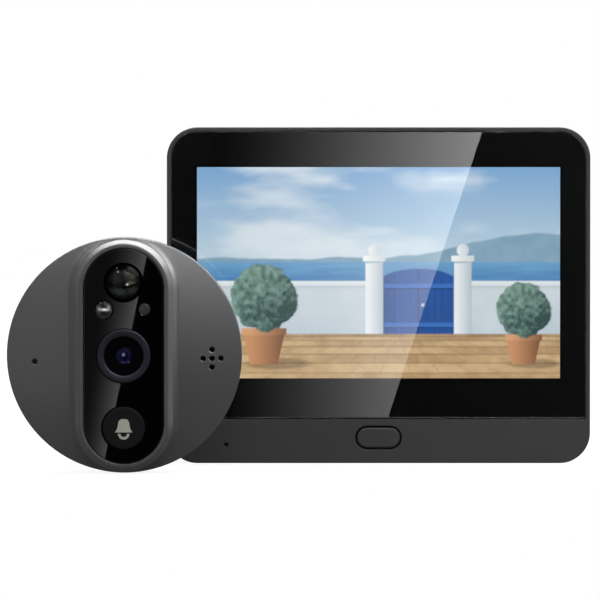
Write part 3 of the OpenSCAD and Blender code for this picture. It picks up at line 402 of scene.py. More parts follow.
# Foil pouch of the battery
silver_pouch = grained("aluminium_pouch_laminate", ("#a8a9ab", "#b9babc"), 4.0, (0.3, 0.42), Metallic=0.7)
# Paper cone and frame of the speakers
speaker_paper = grained("black_paper_cone_pressed", ("#1d1d1e", "#29292a"), 0.35, (0.7, 0.85), 0.02)
# Woven dust mesh
woven_mesh = grained("black_polyester_mesh_woven", ("#0c0c0d", "#1a1a1b"), 0.3, (0.6, 0.8), 0.03)
# White diffuser of the backlight
white_diffuser = grained("white_diffuser_film", ("#e4e6e6", "#f0f1f1"), 1.0, (0.5, 0.6))
# Silver on the copper frame under the light
silvered_frame = grained("silvered_copper_frame", ("#6f706e", "#a3a39f"), 0.35, (0.2, 0.4), Metallic=1.0)
# Float glass with ground edges: clear, a trace of tint
clear_glass = grained("clear_float_glass_ground", ("#f3f7f6", "#fdfefe"), 30.0, (0.0, 0.0), IOR=1.5,
                      Transmission_Weight=1.0)


def clear_with_painted_glints(name, speck, rough, relief, **shader):
    """A clear or smoky piece whose colour is held in a point attribute: the depth seen in it together with
    painted reflections and painted glints, broken up by a speckle of the given size in mm that also runs its
    roughness and raises its surface by the relief in mm."""
    material, tree = blank(name)
    at = add(tree, "TexCoord").outputs["Object"]
    # Its colour: the depth seen in the piece together with painted reflections and painted glints
    depth = add(tree, "Attribute", attribute_name="Tint").outputs["Color"]
    specks = add(tree, "TexNoise", {"Vector": at, "Scale": 1 / (speck * MM), "Detail": 2.0}).outputs["Fac"]
    share = add(tree, "MapRange", {"Value": specks, "From Min": 0.3, "From Max": 0.7,
                                   "To Min": 0.5, "To Max": 1.5})
    tone = add(tree, "VectorMath", {0: depth, "Scale": share.outputs[0]}, operation="SCALE").outputs["Vector"]
    gloss = add(tree, "MapRange", {"Value": specks, "To Min": rough[0], "To Max": rough[1]}).outputs[0]
    bump = add(tree, "Bump", {"Height": specks, "Distance": relief * MM, "Strength": 1.0}).outputs["Normal"]
    return surfaced(material, {"Base Color": tone, "Roughness": gloss, "Normal": bump}, shader)


# Smoky polyethylene of the motion sensor, moulded: dark depth under a gloss,
# with painted reflections and a painted glint
smoky_pe = clear_with_painted_glints("smoky_polyethylene_moulded", 0.7, (0.03, 0.12), 0.03, Specular_IOR_Level=0.06)
# Clear epoxy cast over the night light's mirror, its highlight and reflections painted
clear_epoxy = clear_with_painted_glints("clear_epoxy_over_mirror", 0.5, (0.03, 0.1), 0.02, Specular_IOR_Level=0.05)
# Glass with a blue coat, polished, with painted glints of a lamp in its inner lenses
coated_glass = clear_with_painted_glints("blue_coated_glass_polished", 0.8, (0.02, 0.05), 0.0005, Specular_IOR_Level=0.03)


def lit_screen(name):
    """A display: each point gives off the colour that its own Picture attribute holds."""
    material, tree = blank(name)
    picture = add(tree, "Attribute", attribute_name="Picture").outputs["Color"]
    return surfaced(material, {"Base Color": rgb("#050505"), "Roughness": 0.35, "Emission Color": picture,
                               "Emission Strength": 1.0}, {})


# Camera unit

def soft(value, width):
    """A value where it is positive and 0 where it is negative, rounded over the width."""
    return 0.5 * (value + np.hypot(value, width))


def from_lip(x, y):
    """Distance h out from the lip's edge: that from the panel's upright middle line, which ends where its
    half circles have their centres, less the edge's own; with the shares of the outward direction in x and
    in y."""
    past = np.maximum(np.abs(y) - (PANEL_H - PANEL_W) / 2, 0)
    reach = np.maximum(np.hypot(x, past), 1e-6)
    return reach - (PANEL_W / 2 + PANEL_GAP + LIP_W), x / reach, past / reach


def face_height(x, y):
    """Height of the housing's face over the distance h out from the lip's edge: a band that falls from the
    lip at one tilt, a foot that rises from the dome at another, gentler at the ridge's ends, and a smooth
    step from the one to the other. The step takes up what the dome has fallen, so that the flank is as wide
    at the ends as at the sides."""
    h, _, end = from_lip(x, y)
    dome = DOME_TOP - DOME_R + np.sqrt(DOME_R ** 2 - x ** 2 - y ** 2)
    band = LIP_Z - math.tan(math.radians(BAND_TILT)) * soft(h - 0.1, 0.2)
    foot = dome + np.tan(np.radians(FOOT_TILT - FOOT_EASE * end)) * soft(FLANK_W - h, 0.5)
    share = np.clip((h - STEP_AT) / STEP_W + 0.5, 0, 1)
    share = share * share * (3 - 2 * share)
    return band + share * (foot - band)


def housing():
    """Rows run from the pocket's edge over the lip and down the flank along the pill's outward directions,
    out to the disc's rim, round it and back along the inside, as one closed ring of rows."""
    points, out = pill(PANEL_W + 2 * PANEL_GAP, PANEL_H + 2 * PANEL_GAP, arc=72, side=64)
    top = face_height(*(points + LIP_ROUND * out).T)
    rows = [at_height(points, LEDGE_Z)]
    rows += [at_height(points + LIP_ROUND * (1 - math.cos(a)) * out, top - LIP_ROUND * (1 - math.sin(a)))
             for a in np.linspace(0, np.pi / 2, 6)]

    def rim_reach(radius):
        """Length along each outward direction to the circle of the radius."""
        along = np.sum(points * out, 1)
        return -along + np.sqrt(along ** 2 - np.sum(points ** 2, 1) + radius ** 2)

    angle = np.arctan2(*(points + rim_reach(DISC_R)[:, None] * out).T[::-1])
    ray = heading(angle)
    fall = (face_height(*((DISC_R - 0.3) * ray).T) - face_height(*((DISC_R - 0.1) * ray).T)) / 0.2
    slope = np.arctan(np.maximum(fall, 0.0))
    reach = rim_reach(DISC_R - DISC_EDGE * (1 - np.sin(slope)))
    flank = np.minimum(LIP_W + FLANK_W + 0.9, reach - 0.02)
    for share in np.r_[np.linspace(0, 1, 76)[1:], 1 + np.linspace(0, 1, 30)[1:]]:
        d = LIP_ROUND + (flank - LIP_ROUND) * min(share, 1) + (reach - flank) * max(share - 1, 0)
        at = points + d[:, None] * out
        rows.append(at_height(at, face_height(*at.T)))
    edge = rows[-1]
    start = np.hypot(edge[:, 0], edge[:, 1])
    ray = edge[:, :2] / start[:, None]
    for share in np.linspace(0, 1, 8)[1:]:
        turn = slope + (np.pi / 2 - slope) * share
        radius = start + DISC_EDGE * (np.sin(turn) - np.sin(slope))
        rows.append(at_height(radius[:, None] * ray, edge[:, 2] - DISC_EDGE * (np.cos(slope) - np.cos(turn))))
    inside = [(DISC_R, 0.4), (DISC_R - 0.12, 0.12), (DISC_R - 0.4, 0.0), (COVER_R + 0.35, 0.0),
              (COVER_R + 0.15, 0.2), (COVER_R + 0.15, 2.6), (27.0, 2.6), (27.0, 7.6)]
    rows += [at_height(radius * ray, z) for radius, z in inside]
    under = points - 1.2 * out
    rows += [at_height(under, z) for z in (11.2, LEDGE_Z)]
    return skin(np.stack(rows), True)


shell = solid("camera_housing", [housing()], CAMERA)
grille = [(SPEAKER_AT[0] + SPEAKER_STEP * i, SPEAKER_AT[1] + SPEAKER_STEP * j)
          for i, j in ((0, 0), (1, 0), (-1, 0), (0, 1), (0, -1))]
cut(shell, [solid("hole_cutter", [lathe([(0, 5), (HOLE_R, 5), (HOLE_R, 16), (0, 16)], at, 32)], CAMERA)
            for at in grille + [MIC_AT]])


def camera_points(made):
    """A piece's points as x, y and z in the camera unit's own frame, in mm."""
    flat = np.empty(3 * len(made.data.vertices))
    made.data.vertices.foreach_get("co", flat)
    x, back, y = ((flat.reshape(-1, 3) - CAMERA) / MM).T
    return x, y, -back


def shade_over_step(made):
    """Shades the narrow step in the ridge's flank as a smooth passage: normals that turn from the band's
    tilt to the foot's over a short way, on the points of the face near the step; the others keep their
    own."""
    x, y, z = camera_points(made)
    h, across, end = from_lip(x, y)
    near = (np.abs(h - STEP_AT) < 0.2) & (z > LEDGE_Z - 6)
    share = np.clip((h - STEP_AT) / STEP_SHADE + 0.5, 0, 1)
    tilt = np.radians(BAND_TILT + share * (FOOT_TILT - FOOT_EASE * end - BAND_TILT))
    normal = [np.sin(tilt) * across, -np.cos(tilt), np.sin(tilt) * end * np.sign(y)]
    made.data.normals_split_custom_set_from_vertices((near * np.array(normal)).T.tolist())


shade_over_step(shell)
fit(shell, satin_paint, "camera", "housing_grey", "camera_shell")


def mic_boot(name, body, boot, mic, unit, at, hole_r, front):
    """A rubber boot round a microphone, with a nose that fills the sound hole and a small bore through it:
    a ring of (radius, height) pairs turned about the hole's axis."""
    low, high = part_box(boot)
    out, back, top = (high.x - low.x) / 2 / MM, (unit[1] - high.y) / MM, (unit[1] - low.y) / MM
    low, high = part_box(mic)
    room, seat = (high.x - low.x) / 2 / MM + 0.02, (unit[1] - low.y) / MM + 0.02
    nose, bore = hole_r - MIC_PLAY, 0.14
    ring = [(bore, seat), (bore, front), (nose, front), (nose, top), (out, top), (out, back), (room, back),
            (room, seat)]
    fit(solid(name, [lathe(ring, at, 48, True)], unit), black_rubber, body, "rubber_black", boot)


mic_boot("camera_mic_boot_moulded", "camera", "camera_mic_boot", "camera_mic", CAMERA, MIC_AT, HOLE_R,
         float(face_height(*MIC_AT)) - 1.6)

panel_holes = [(circle(PIR_R + 0.1, PIR_AT), 0.6), (circle(LED_R + 0.1, LED_AT, 64), 0.35),
               (circle(LIGHT_R + 0.1, LIGHT_AT, 48), 0.05), (circle(RING_R + 0.1, count=128), 0.1),
               (circle(BELL_R + 0.2, BELL_AT), 0.1)]
panel = plate(pill(PANEL_W, PANEL_H, arc=64), PANEL_BACK, PANEL_FRONT, 0.1, 0.22, panel_holes)
fit(solid("front_panel_black", panel, CAMERA), black_acrylic, "camera", "panel_black", "front_panel")


def dome(radius, base, rise, steps=24):
    """Profile of a spherical cap from its edge to its top."""
    ball = (radius ** 2 + rise ** 2) / (2 * rise)
    a = np.linspace(math.asin(min(1.0, radius / ball)), 0, steps)
    return np.stack([ball * np.sin(a), base + rise - ball + ball * np.cos(a)], 1)


def tint(made, centre, colour):
    """Stores colour(x, y), worked out from each point's place about a centre on the camera's face in mm, as
    the piece's Tint."""
    x, y, _ = camera_points(made)
    values = np.ones((x.size, 4))
    values[:, :3] = colour(x - centre[0], y - centre[1])
    made.data.attributes.new("Tint", "FLOAT_COLOR", "POINT").data.foreach_set("color", values.ravel())
    return made


def spot(x, y, at, reach):
    """A soft spot: 1 at its middle, falling off over its reach in x and y."""
    return np.exp(-((x - at[0]) / reach[0]) ** 2 - ((y - at[1]) / reach[1]) ** 2)


def blend(base, *layers):
    """A colour with others laid over it, each by its share."""
    value = np.outer(np.ones(layers[0][0].size), rgb(base)[:3])
    for share, code in layers:
        value = value + np.clip(share, 0, 1)[:, None] * (np.array(rgb(code)[:3]) - value)
    return value


def smoke_and_painted_glints(x, y):
    """Colour of the smoky dome: an olive glow on the right and a grey one on the left, painted reflections;
    a dark curve across the lower middle with a paler crescent under it, all sinking to black towards the edge;
    and one small painted glint."""
    curve = y + 1.2 - 0.09 * x ** 2
    under = np.clip(-curve / 0.4, 0, 1)
    return blend("#0b0b0a",
                 # Painted reflections: olive glows on the right and a grey glow on the left
                 (spot(x, y, (2.1, 1.3), (1.3, 1.7)), "#3d3e33"),
                 (spot(x, y, (-1.8, 1.4), (1.6, 1.7)), "#29292d"),
                 (spot(x, y, (1.9, -0.1), (1.3, 0.5)), "#54544a"),
                 (under * spot(x, y, (-1.2, -2.3), (2.4, 0.9)), "#343a38"),
                 (under * spot(x, y, (2.6, -1.9), (1.2, 0.8)), "#404043"),
                 (np.exp(-(curve / 0.35) ** 2), "#040404"),
                 (spot(x, y, (0.2, -0.2), (0.5, 0.6)), "#060604"),
                 (np.clip((np.hypot(x, y) - 3.5) / 0.7, 0, 1), "#030303"),
                 # A painted glint
                 (spot(x, y, (0.95, -0.45), (0.28, 0.22)), "#f4f4ea"))


def spark(x, y):
    """Colour of the night light, painted light over its mirror: a level bright streak as its painted
    highlight, a dark painted reflection of the light above and below it, and paler painted reflections towards
    a dark edge."""
    return blend("#343433",
                 # Painted reflections of the mirror, then its painted highlight streak
                 (spot(x, y, (1.25, 0.6), (0.5, 0.5)), "#a8a8a5"),
                 (spot(x, y, (-1.4, 0.2), (0.4, 0.8)), "#7e7e7c"),
                 (spot(x, y, (-0.2, 1.1), (0.75, 0.4)), "#161616"),
                 (spot(x, y, (-0.2, -0.95), (0.7, 0.4)), "#141414"),
                 (spot(x, y, (0.2, 0.0), (1.15, 0.3)) * 1.3, "#f8f8f4"),
                 (np.clip((np.hypot(x, y) - 1.6) / 0.4, 0, 1), "#1c1c1c"))


def coat_and_painted_glints(x, y):
    """Colour of the lens: a blue-violet middle in a paler ring, with painted glints for the images of a
    lamp in its inner lenses."""
    out = np.hypot(x, y)
    return blend("#020206",
                 (np.exp(-(out / 1.8) ** 4), "#0e0d33"),
                 (0.7 * np.exp(-((out - 1.5) / 0.3) ** 2), "#1d1e40"),
                 # Painted glints: images of a lamp in the inner lenses
                 (spot(x, y, (-0.05, -1.7), (0.6, 0.25)), "#3a3b66"),
                 (spot(x, y, (1.3, -1.65), (0.3, 0.3)), "#4a4062"),
                 (spot(x, y, (-0.1, 0.3), (0.32, 0.32)), "#9a95c2"))


hood = np.vstack([[(PIR_R, 13.3)], dome(PIR_R, 15.4, 1.6, 48), [(0, 16.4)], dome(3.8, 15.0, 1.35, 12)[::-1],
                  [(3.8, 13.3)]])
motion_lens = solid("motion_lens", [lathe(hood, PIR_AT, ring=True)], CAMERA)
fit(tint(motion_lens, PIR_AT, smoke_and_painted_glints), smoky_pe, "camera", "pir_poly", "pir_lens")

deep = np.linspace(0, 1, 12)
mirror = np.stack([1.86 - 0.56 * deep ** 1.6, 15.3 - 2.0 * deep], 1)
bowl = np.vstack([[(LED_R, 13.3), (LED_R, 15.3)], mirror])
fit(solid("night_light_bowl", [lathe(bowl, LED_AT, 64, True)], CAMERA),
    bright_chrome, "camera", "reflector", "led_reflector")
drop = np.vstack([[(0, 14.5), (1.4, 14.5), (1.78, 15.3), (2.0, 15.3)], dome(2.0, 15.35, 0.55, 40)])
night_light = solid("night_light_lens", [lathe(drop, LED_AT, 72)], CAMERA)
fit(tint(night_light, LED_AT, spark), clear_epoxy, "camera", "led_clear", "led_lens")
pane = np.vstack([[(0, 13.6), (LIGHT_R, 13.6), (LIGHT_R, 15.4)], dome(LIGHT_R - 0.08, 15.46, 0.08, 8)])
fit(solid("light_sensor_window", [lathe(pane, LIGHT_AT, 48)], CAMERA),
    tinted_window, "camera", "light_window", "light_guide")

collar = [(RING_IN, 13.35), (RING_R, 13.35), (RING_R, 15.8), (6.8, 15.95), (6.68, 16.05), (6.5, 16.08),
          (5.35, 16.02), (5.15, 15.96), (RING_IN, 15.8)]
fit(solid("lens_ring_turned", [lathe(collar, count=128, ring=True)], CAMERA),
    dark_anodised, "camera", "lens_ring", "lens_ring")

stairs = np.linspace(4.5, 2.36, 8)
drops = np.linspace(15.15, 13.7, 8)
baffles = np.stack([np.repeat(stairs, 2), np.r_[drops[0], np.repeat(drops[1:], 2), 13.62]], 1)
tube = np.vstack([[(2.36, 9.0), (4.9, 9.0), (4.9, 15.2), (4.85, 15.3), (4.6, 15.3)], baffles])
fit(solid("lens_tube", [lathe(tube, count=96, ring=True)], CAMERA),
    tube_black, "camera", "lens_black", "lens_barrel")
lens = np.vstack([[(0, 12.3), (2.3, 12.3)], dome(2.3, 13.6, 0.3, 36)])
front_lens = solid("front_lens", [lathe(lens, count=72)], CAMERA)
fit(tint(front_lens, (0, 0), coat_and_painted_glints), coated_glass, "camera", "lens_glass", "lens_eye")

button = [(0, 12.35), (6.3, 12.35), (6.3, 13.1), (BELL_R, 13.1), (BELL_R, 15.3), (5.45, 15.5), (5.32, 15.64),
          (5.1, BELL_Z), (4.7, BELL_Z), (0, BELL_Z)]
fit(solid("bell_button_cap", [lathe(button, BELL_AT)], CAMERA),
    bell_black, "bell_button", "bell_black", "bell_cap")


def bell_sign():
    """The sign's outline by its half width at each height: a round crown, a waist that widens slowly and a
    foot that flares; then the clapper, a half ring under it. Each is raised by a thin wall."""
    share = np.linspace(0, 1, 40)
    crown = 1.42 * np.sqrt(np.clip(1 - (1 - np.minimum(share / 0.35, 1)) ** 2, 0, 1))
    waist = 0.15 * np.clip((share - 0.35) / 0.3, 0, 1)
    half = crown + waist + 0.7 * np.clip((share - 0.6) / 0.4, 0, 1) ** 1.6
    y = 2.42 - 3.5 * share
    body = np.concatenate([np.stack([half, y], 1), np.stack([-half, y], 1)[::-1]])[1:-1]
    turn = np.linspace(0, np.pi, 32)
    arc = heading(-turn)
    clapper = np.concatenate([1.48 * arc, 0.82 * arc[::-1]]) + (0, -1.42)
    surfaces, foot, top = [], BELL_Z - 0.01, BELL_Z + 0.12
    for loop in (body, clapper):
        loop = loop + BELL_AT
        along = np.roll(loop, -1, 0) - np.roll(loop, 1, 0)
        out = np.stack([-along[:, 1], along[:, 0]], 1) / np.maximum(np.hypot(*along.T), 1e-6)[:, None]
        surfaces += [sweep((loop, out), [(0, foot), (0, top)]), cap([loop], foot), cap([loop], top)]
    return surfaces


fit(solid("bell_sign", bell_sign(), CAMERA), pale_print, "bell_button", "bell_print", "bell_mark")

corner_screws = [(COVER_SCREW_OUT * math.cos(a), COVER_SCREW_OUT * math.sin(a))
                 for a in np.radians([45, 135, 225, 315])]
back_holes = [(circle(7.7), 0.12)] + [(circle(2.0, at, 48), 0.12) for at in corner_screws]
fit(solid("camera_back", plate(circle(COVER_R, count=128), 0.0, COVER_T, 0.25, 0.05, back_holes), CAMERA),
    charcoal_abs, "camera", "case_charcoal", "camera_cover")


def cross_screw(at, seat, tip, head_r=SCREW_R, rise=SCREW_RISE, shank_r=SHANK_R):
    """A pan head screw that faces the back: a shallow dome with a cross sunk in it, where the smaller of
    |x| and |y| is under the cross's half width and the larger under its half length."""
    radius = np.r_[np.linspace(0, 0.92, 22), 0.97, 1.0, 1.0][:, None] * head_r
    angle = 2 * np.pi * np.arange(72)[None] / 72
    x, y = radius * np.cos(angle), radius * np.sin(angle)
    short, long = np.minimum(np.abs(x), np.abs(y)), np.maximum(np.abs(x), np.abs(y))
    sunk = np.clip((0.17 - short / head_r) / 0.06, 0, 1) * np.clip((0.62 - long / head_r) / 0.1, 0, 1)
    top = seat - rise + 0.3 * rise * (radius / head_r) ** 2 + 0.55 * rise * sunk
    top[-2] += 0.15 * rise
    top[-1] = seat
    grid = np.stack([x + at[0], y + at[1], np.broadcast_to(top, x.shape)], 2)
    return [skin(grid),
            lathe([(head_r, seat), (shank_r, seat), (shank_r, tip - shank_r), (0, tip)], at, 72)]


fit(solid("camera_back_screws", [s for at in corner_screws for s in cross_screw(at, 1.3, 6.6)], CAMERA),
    black_oxide, "camera", "steel", "camera_cover_screws")

swell = np.linspace(0, np.pi, 12)
foam = np.vstack([np.stack([20.3 + 0.2 * np.sin(swell), -0.75 + 0.72 * np.cos(swell)], 1),
                  np.stack([9.2 - 0.2 * np.sin(swell), -0.75 - 0.72 * np.cos(swell)], 1)])
pad = fit(solid("door_foam_ring", [lathe(foam, count=128, ring=True)], CAMERA),
          cut_foam, "camera", "foam_grey", "door_pad")


def threaded_barrel():
    """A tube whose outside is a thread: the radius falls from the crest by a triangle wave of height less
    turn, fading out towards the neck and the tip; then the neck, the flange and the bore close the ring of
    rows."""
    z = np.arange(BARREL_END, -3.0, THREAD_PITCH / 8)
    turn = np.arange(96) / 96
    wave = np.abs(((z[:, None] / THREAD_PITCH - turn[None]) % 1) * 2 - 1)
    depth = 0.55 * np.clip((-4.0 - z) / 2.0, 0, 1)
    tip = np.maximum(0, 1.0 - (z - BARREL_END)) * 0.8
    outside = BARREL_R - np.maximum(depth[:, None] * np.clip(1.3 * wave - 0.15, 0, 1), tip[:, None])
    rest = np.array([(BARREL_R, -1.6), (7.55, -1.55), (7.6, -1.45), (7.6, 2.05), (9.5, 2.05), (9.5, 3.4),
                     (BARREL_BORE + 0.3, 3.4), (BARREL_BORE, 3.1), (BARREL_BORE, BARREL_END + 0.4),
                     (BARREL_BORE + 0.3, BARREL_END)])
    radius = np.vstack([outside, np.repeat(rest[:, :1], 96, 1)])
    height = np.r_[z, rest[:, 1]][:, None] + np.zeros((1, 96))
    angle = 2 * np.pi * turn[None]
    grid = np.stack([radius * np.cos(angle), radius * np.sin(angle), height], 2)
    return skin(grid, True)


fit(solid("door_barrel_threaded", [threaded_barrel()], CAMERA),
    nickel_plate, "camera", "plated_barrel", "barrel")

# Monitor

pocket = slab(-GLASS_X, GLASS_X, GLASS_LOW - 0.25, GLASS_TOP, 0.6, GLASS_R, 16)
openings = [(pocket, 0.05), (pill(KEY_W + 2 * KEY_GAP, KEY_H + 2 * KEY_GAP, KEY_AT), 0.2),
            (circle(MON_MIC_R, MON_MIC_AT, 32), 0.1)]
case_edge = slab(-MON_W / 2, MON_W / 2, 0, MON_H, MON_R, arc=24)
bezel = solid("monitor_frame", plate(case_edge, MON_SEAM, MON_FRONT, 0.2, 0.3, openings), MONITOR)


def side_slot(y, z, length, depth):
    """A pill-shaped cutter through the right side wall: length along y and depth along z, from inside to
    outside."""
    points, _ = pill(length, depth, arc=16)
    loops = [np.column_stack([np.full(len(points), x), points[:, 0] + y, points[:, 1] + z])
             for x in (GLASS_X - 0.5, MON_W / 2 + 0.5)]
    ends = np.array(tessellate_polygon([[Vector((a, b, 0)) for a, b in points]]))
    return [skin(np.stack(loops)), (loops[0], ends, False), (loops[1], ends, False)]


cut(bezel, [solid("usb_cutter", side_slot(*USB_AT, 9.34, 3.66), MONITOR),
            solid("power_cutter", side_slot(*POWER_AT, 6.1, 2.4), MONITOR)])
fit(bezel, charcoal_abs, "monitor", "case_charcoal", "front_frame")
mic_boot("monitor_mic_boot_moulded", "monitor", "monitor_mic_boot", "monitor_mic", MONITOR,
         MON_MIC_AT, MON_MIC_R, MON_FRONT - 1.2)


def in_glass(inset, corner):
    """Outline of the glass's opening, drawn in by the inset."""
    return slab(inset - GLASS_X, GLASS_X - inset, GLASS_LOW + inset, GLASS_TOP - inset,
                corner, GLASS_R - inset, 16)


fit(solid("monitor_glass", plate(in_glass(0.1, 0.5), *GLASS_Z, 0.08, 0.2), MONITOR),
    clear_glass, "monitor", "cover_glass", "cover_glass")
window = slab(-SCREEN_X, SCREEN_X, SCREEN_LOW, SCREEN_TOP, 0.1, arc=3)
fit(solid("glass_border_ink", plate(in_glass(0.3, 0.4), *INK_Z, 0.01, 0.01, [(window, 0.01)]), MONITOR),
    black_ink, "monitor", "print_black", "glass_mask")
fit(solid("display_cell", plate(slab(-52.62, 52.62, 17.05, 84.1, 0.4), *CELL_Z, 0.1, 0.1), MONITOR),
    black_ink, "monitor", "screen", "lcd_cell")


def cloudy(x, y, cell, seed, octaves=4):
    """A soft random field between 0 and 1: lattices of random values, each twice as fine and half as strong
    as the last, smoothly filled in between."""
    total = 0.0
    for k in range(octaves):
        lattice = np.random.default_rng(seed + k).random((64, 64))
        gx, gy = x / cell * 2 ** k, y / cell * 2 ** k
        i, j = np.floor(gx).astype(int), np.floor(gy).astype(int)
        fx, fy = gx - i, gy - j
        fx, fy = fx * fx * (3 - 2 * fx), fy * fy * (3 - 2 * fy)
        side = [lattice[i % 64, (j + d) % 64] * (1 - fx) + lattice[(i + 1) % 64, (j + d) % 64] * fx
                for d in (0, 1)]
        total = total + (side[0] * (1 - fy) + side[1] * fy) / 2 ** k
    return total / (2 - 2 ** (1 - octaves))


def terrace_view(x, y):
    """A terrace by the sea, as colours over x and y in mm from the screen's lower left: sky with thin
    cloud, a headland, the sea, a white wall with a blue gate between two pillars, paving in rows and two
    planted pots; each is laid over the last where the distance inside its own edge is positive."""
    def lay(under, colour, edge, soft=0.2):
        """A colour over another where the distance inside its edge is positive, softened over a width."""
        cover = np.clip(edge / soft + 0.5, 0, 1)[..., None]
        return under * (1 - cover) + np.asarray(colour) * cover

    def tone(first, second=None, by=None):
        """A colour, or the mix of two by a share."""
        first = np.array(rgb(first)[:3])
        if by is None:
            return first
        return first + np.clip(by, 0, 1)[..., None] * (np.array(rgb(second)[:3]) - first)

    def dim(colour, amount):
        """A colour darkened by a share."""
        return colour * (1 - np.clip(amount, 0, 1))[..., None]

    def within(across, half, low, high, up=y):
        """Distance inside a box by its half width and two heights."""
        return np.minimum(half - np.abs(across), np.minimum(high - up, up - low))

    view = tone("#cfdfe8", "#74a5d3", by=np.clip((y - 28) / 30, 0, 1) ** 0.8)
    cloud = cloudy(x * 0.5 + 3, y * 1.5, 13, 3, 5) + 0.1 * np.sin(x / 21)
    view = view + np.clip((cloud - 0.52) * 3.0, 0, 0.75)[..., None] * (tone("#e8eff4") - view)
    hill = 31.5 + 6.5 * np.exp(-((x - 88) / 22) ** 2) + 1.2 * (cloudy(x, 0 * x, 6, 11) - 0.5) - y
    view = lay(view, tone("#8fb0c8", "#7d9fb6", by=cloudy(x, y, 3, 15)), hill, 0.5)
    sea = tone("#2f6cae", "#6fa5cf", by=(y - 22) / 8.5 + 0.5 * (cloudy(x * 0.3, y * 3, 2, 21) - 0.5))
    view = lay(view, sea, 30.4 - y, 0.3)
    coat = tone("#c3ced8", "#d6dfe6", by=cloudy(x, y, 7, 41) * 0.8 + (y - 14) / 20)
    coat = dim(coat, 0.18 * np.exp(-np.maximum(24.0 - y, 0) / 0.5))
    view = lay(view, coat, 24.4 - y)
    view = lay(view, tone("#eef2f4", "#dbe3e9", by=(25.4 - y) / 1.1), np.minimum(25.5 - y, y - 24.2))
    gate = x - 58
    arch = 25.5 + 3.2 * np.sqrt(np.clip(1 - (gate / 9.6) ** 2, 0, 1))
    view = lay(view, tone("#8eb4cf"), within(gate, 9.4, 11, 26))
    plank = np.abs((gate + 20) % 2.1 - 1.05)
    leaf = tone("#1c4a90", "#2b62b4", by=cloudy(x * 3, y * 0.35, 5, 51))
    leaf = dim(leaf, 0.5 * np.clip(1 - plank / 0.14, 0, 1) + 0.5 * np.clip(1 - np.abs(gate) / 0.22, 0, 1)
               + 0.3 * np.exp(-np.maximum(gate + 9.2, 0) / 1.0))
    view = lay(view, leaf, within(gate, 9.2, 11.4, arch))
    for rail in (14.0, 24.2):
        view = lay(view, tone("#16386f"), within(gate, 9.0, rail - 0.87, rail - 0.37))
        view = lay(view, tone("#3a72c2"), within(gate, 9.0, rail - 0.55, rail + 0.55))
    view = lay(view, tone("#c9ccd0"), 0.42 - np.hypot(gate - 1.1, y - 19.2))
    for side in (-11.6, 11.6):
        post = gate - side
        view = lay(view, tone("#b4c1cd", "#f0f3f5", by=0.62 - post / 4.2), within(post, 2.3, 10.4, 31))
        view = lay(view, tone("#b9c5cf"), within(post, 2.3, 30.1, 30.7))
        view = lay(view, tone("#cfd8df", "#f6f8f9", by=0.62 - post / 5.4), within(post, 3.0, 30.65, 32.15))
        view = lay(view, tone("#c4ced7", "#f2f5f6", by=0.62 - post / 4.0), 1.6 - np.hypot(post, y - 33.5))
    near = np.clip((11.6 - y) / 11.6, 1e-3, 1)
    span, row_at = 9 + 34 * near, 6.5 * near ** 0.62
    slab_x = (x - 52) / span * 5 + 0.5 * (np.floor(row_at) % 2)
    joint = np.minimum((0.5 - np.abs(row_at % 1 - 0.5)) * 1.6 * (0.4 + near),
                       (0.5 - np.abs(slab_x % 1 - 0.5)) * span / 5)
    odd = np.sin(np.floor(slab_x) * 12.9 + np.floor(row_at) * 78.2)
    stone = tone("#b8946a", "#d9b88c", by=0.33 * odd + cloudy(x, y * 1.6, 3, 71))
    stone = dim(stone, 0.38 * np.clip(1 - joint / 0.2, 0, 1) + 0.25 * np.exp(-(11.6 - y) / 0.7))
    view = lay(view, stone, 11.6 - y)
    for at, size in ((17.5, 1.0), (85.5, 0.82)):
        px, py = (x - at) / size, (y - 3.6) / size
        view = lay(view, dim(view, 0.42 + 0 * x), 1 - np.hypot((px - 3.5) / 8.0, (py - 0.3) / 1.5), 0.35)
        view = lay(view, tone("#7d5136", "#cf9468", by=0.6 - px / 8.5),
                   within(px, 3.6 + py * 0.22, 0, 8.2, py))
        view = lay(view, tone("#8a5b3d", "#dba378", by=0.6 - px / 9.5), within(px, 5.9, 7.7, 9.5, py))
        leaf_edge = 8.6 - np.hypot(px, py - 17.5) + 2.2 * (cloudy(px + 40, py + 40, 2.2, 91) - 0.5)
        shade = cloudy(px + 9, py + 9, 1.1, 95) * 1.5 - 0.35 + (py - 17.5) / 26 - px / 26
        view = lay(view, tone("#2d4b4a", "#86a79a", by=shade), leaf_edge, 0.4)
    return view


def screen_sheet():
    """The lit window as a flat grid of quarter-millimetre steps that carries its picture as a point
    colour."""
    x = np.linspace(-SCREEN_X - 0.2, SCREEN_X + 0.2, 382)
    y = np.linspace(SCREEN_LOW - 0.2, SCREEN_TOP + 0.2, 224)
    gx, gy = np.meshgrid(x, y)
    mesh = bpy.data.meshes.new("screen_picture")
    points = at_height(np.stack([gx.ravel(), gy.ravel()], 1), PICTURE_Z)
    mesh.from_pydata(placed(points, MONITOR).tolist(), [], quads(y.size, x.size, ring_cols=False).tolist())
    colour = np.ones((gx.size, 4))
    colour[:, :3] = terrace_view(gx + SCREEN_X, gy - SCREEN_LOW).reshape(-1, 3)
    mesh.attributes.new("Picture", "FLOAT_COLOR", "POINT").data.foreach_set("color", colour.ravel())
    return put("screen_picture", mesh)


fit(screen_sheet(), lit_screen("liquid_crystal_display_lit"), "monitor", "screen")
fit(solid("monitor_key_cap", plate(pill(KEY_W, KEY_H, KEY_AT), 15.2, 19.1, 0.1, 0.5), MONITOR),
    charcoal_abs, "key_button", "case_charcoal", "key_cap")


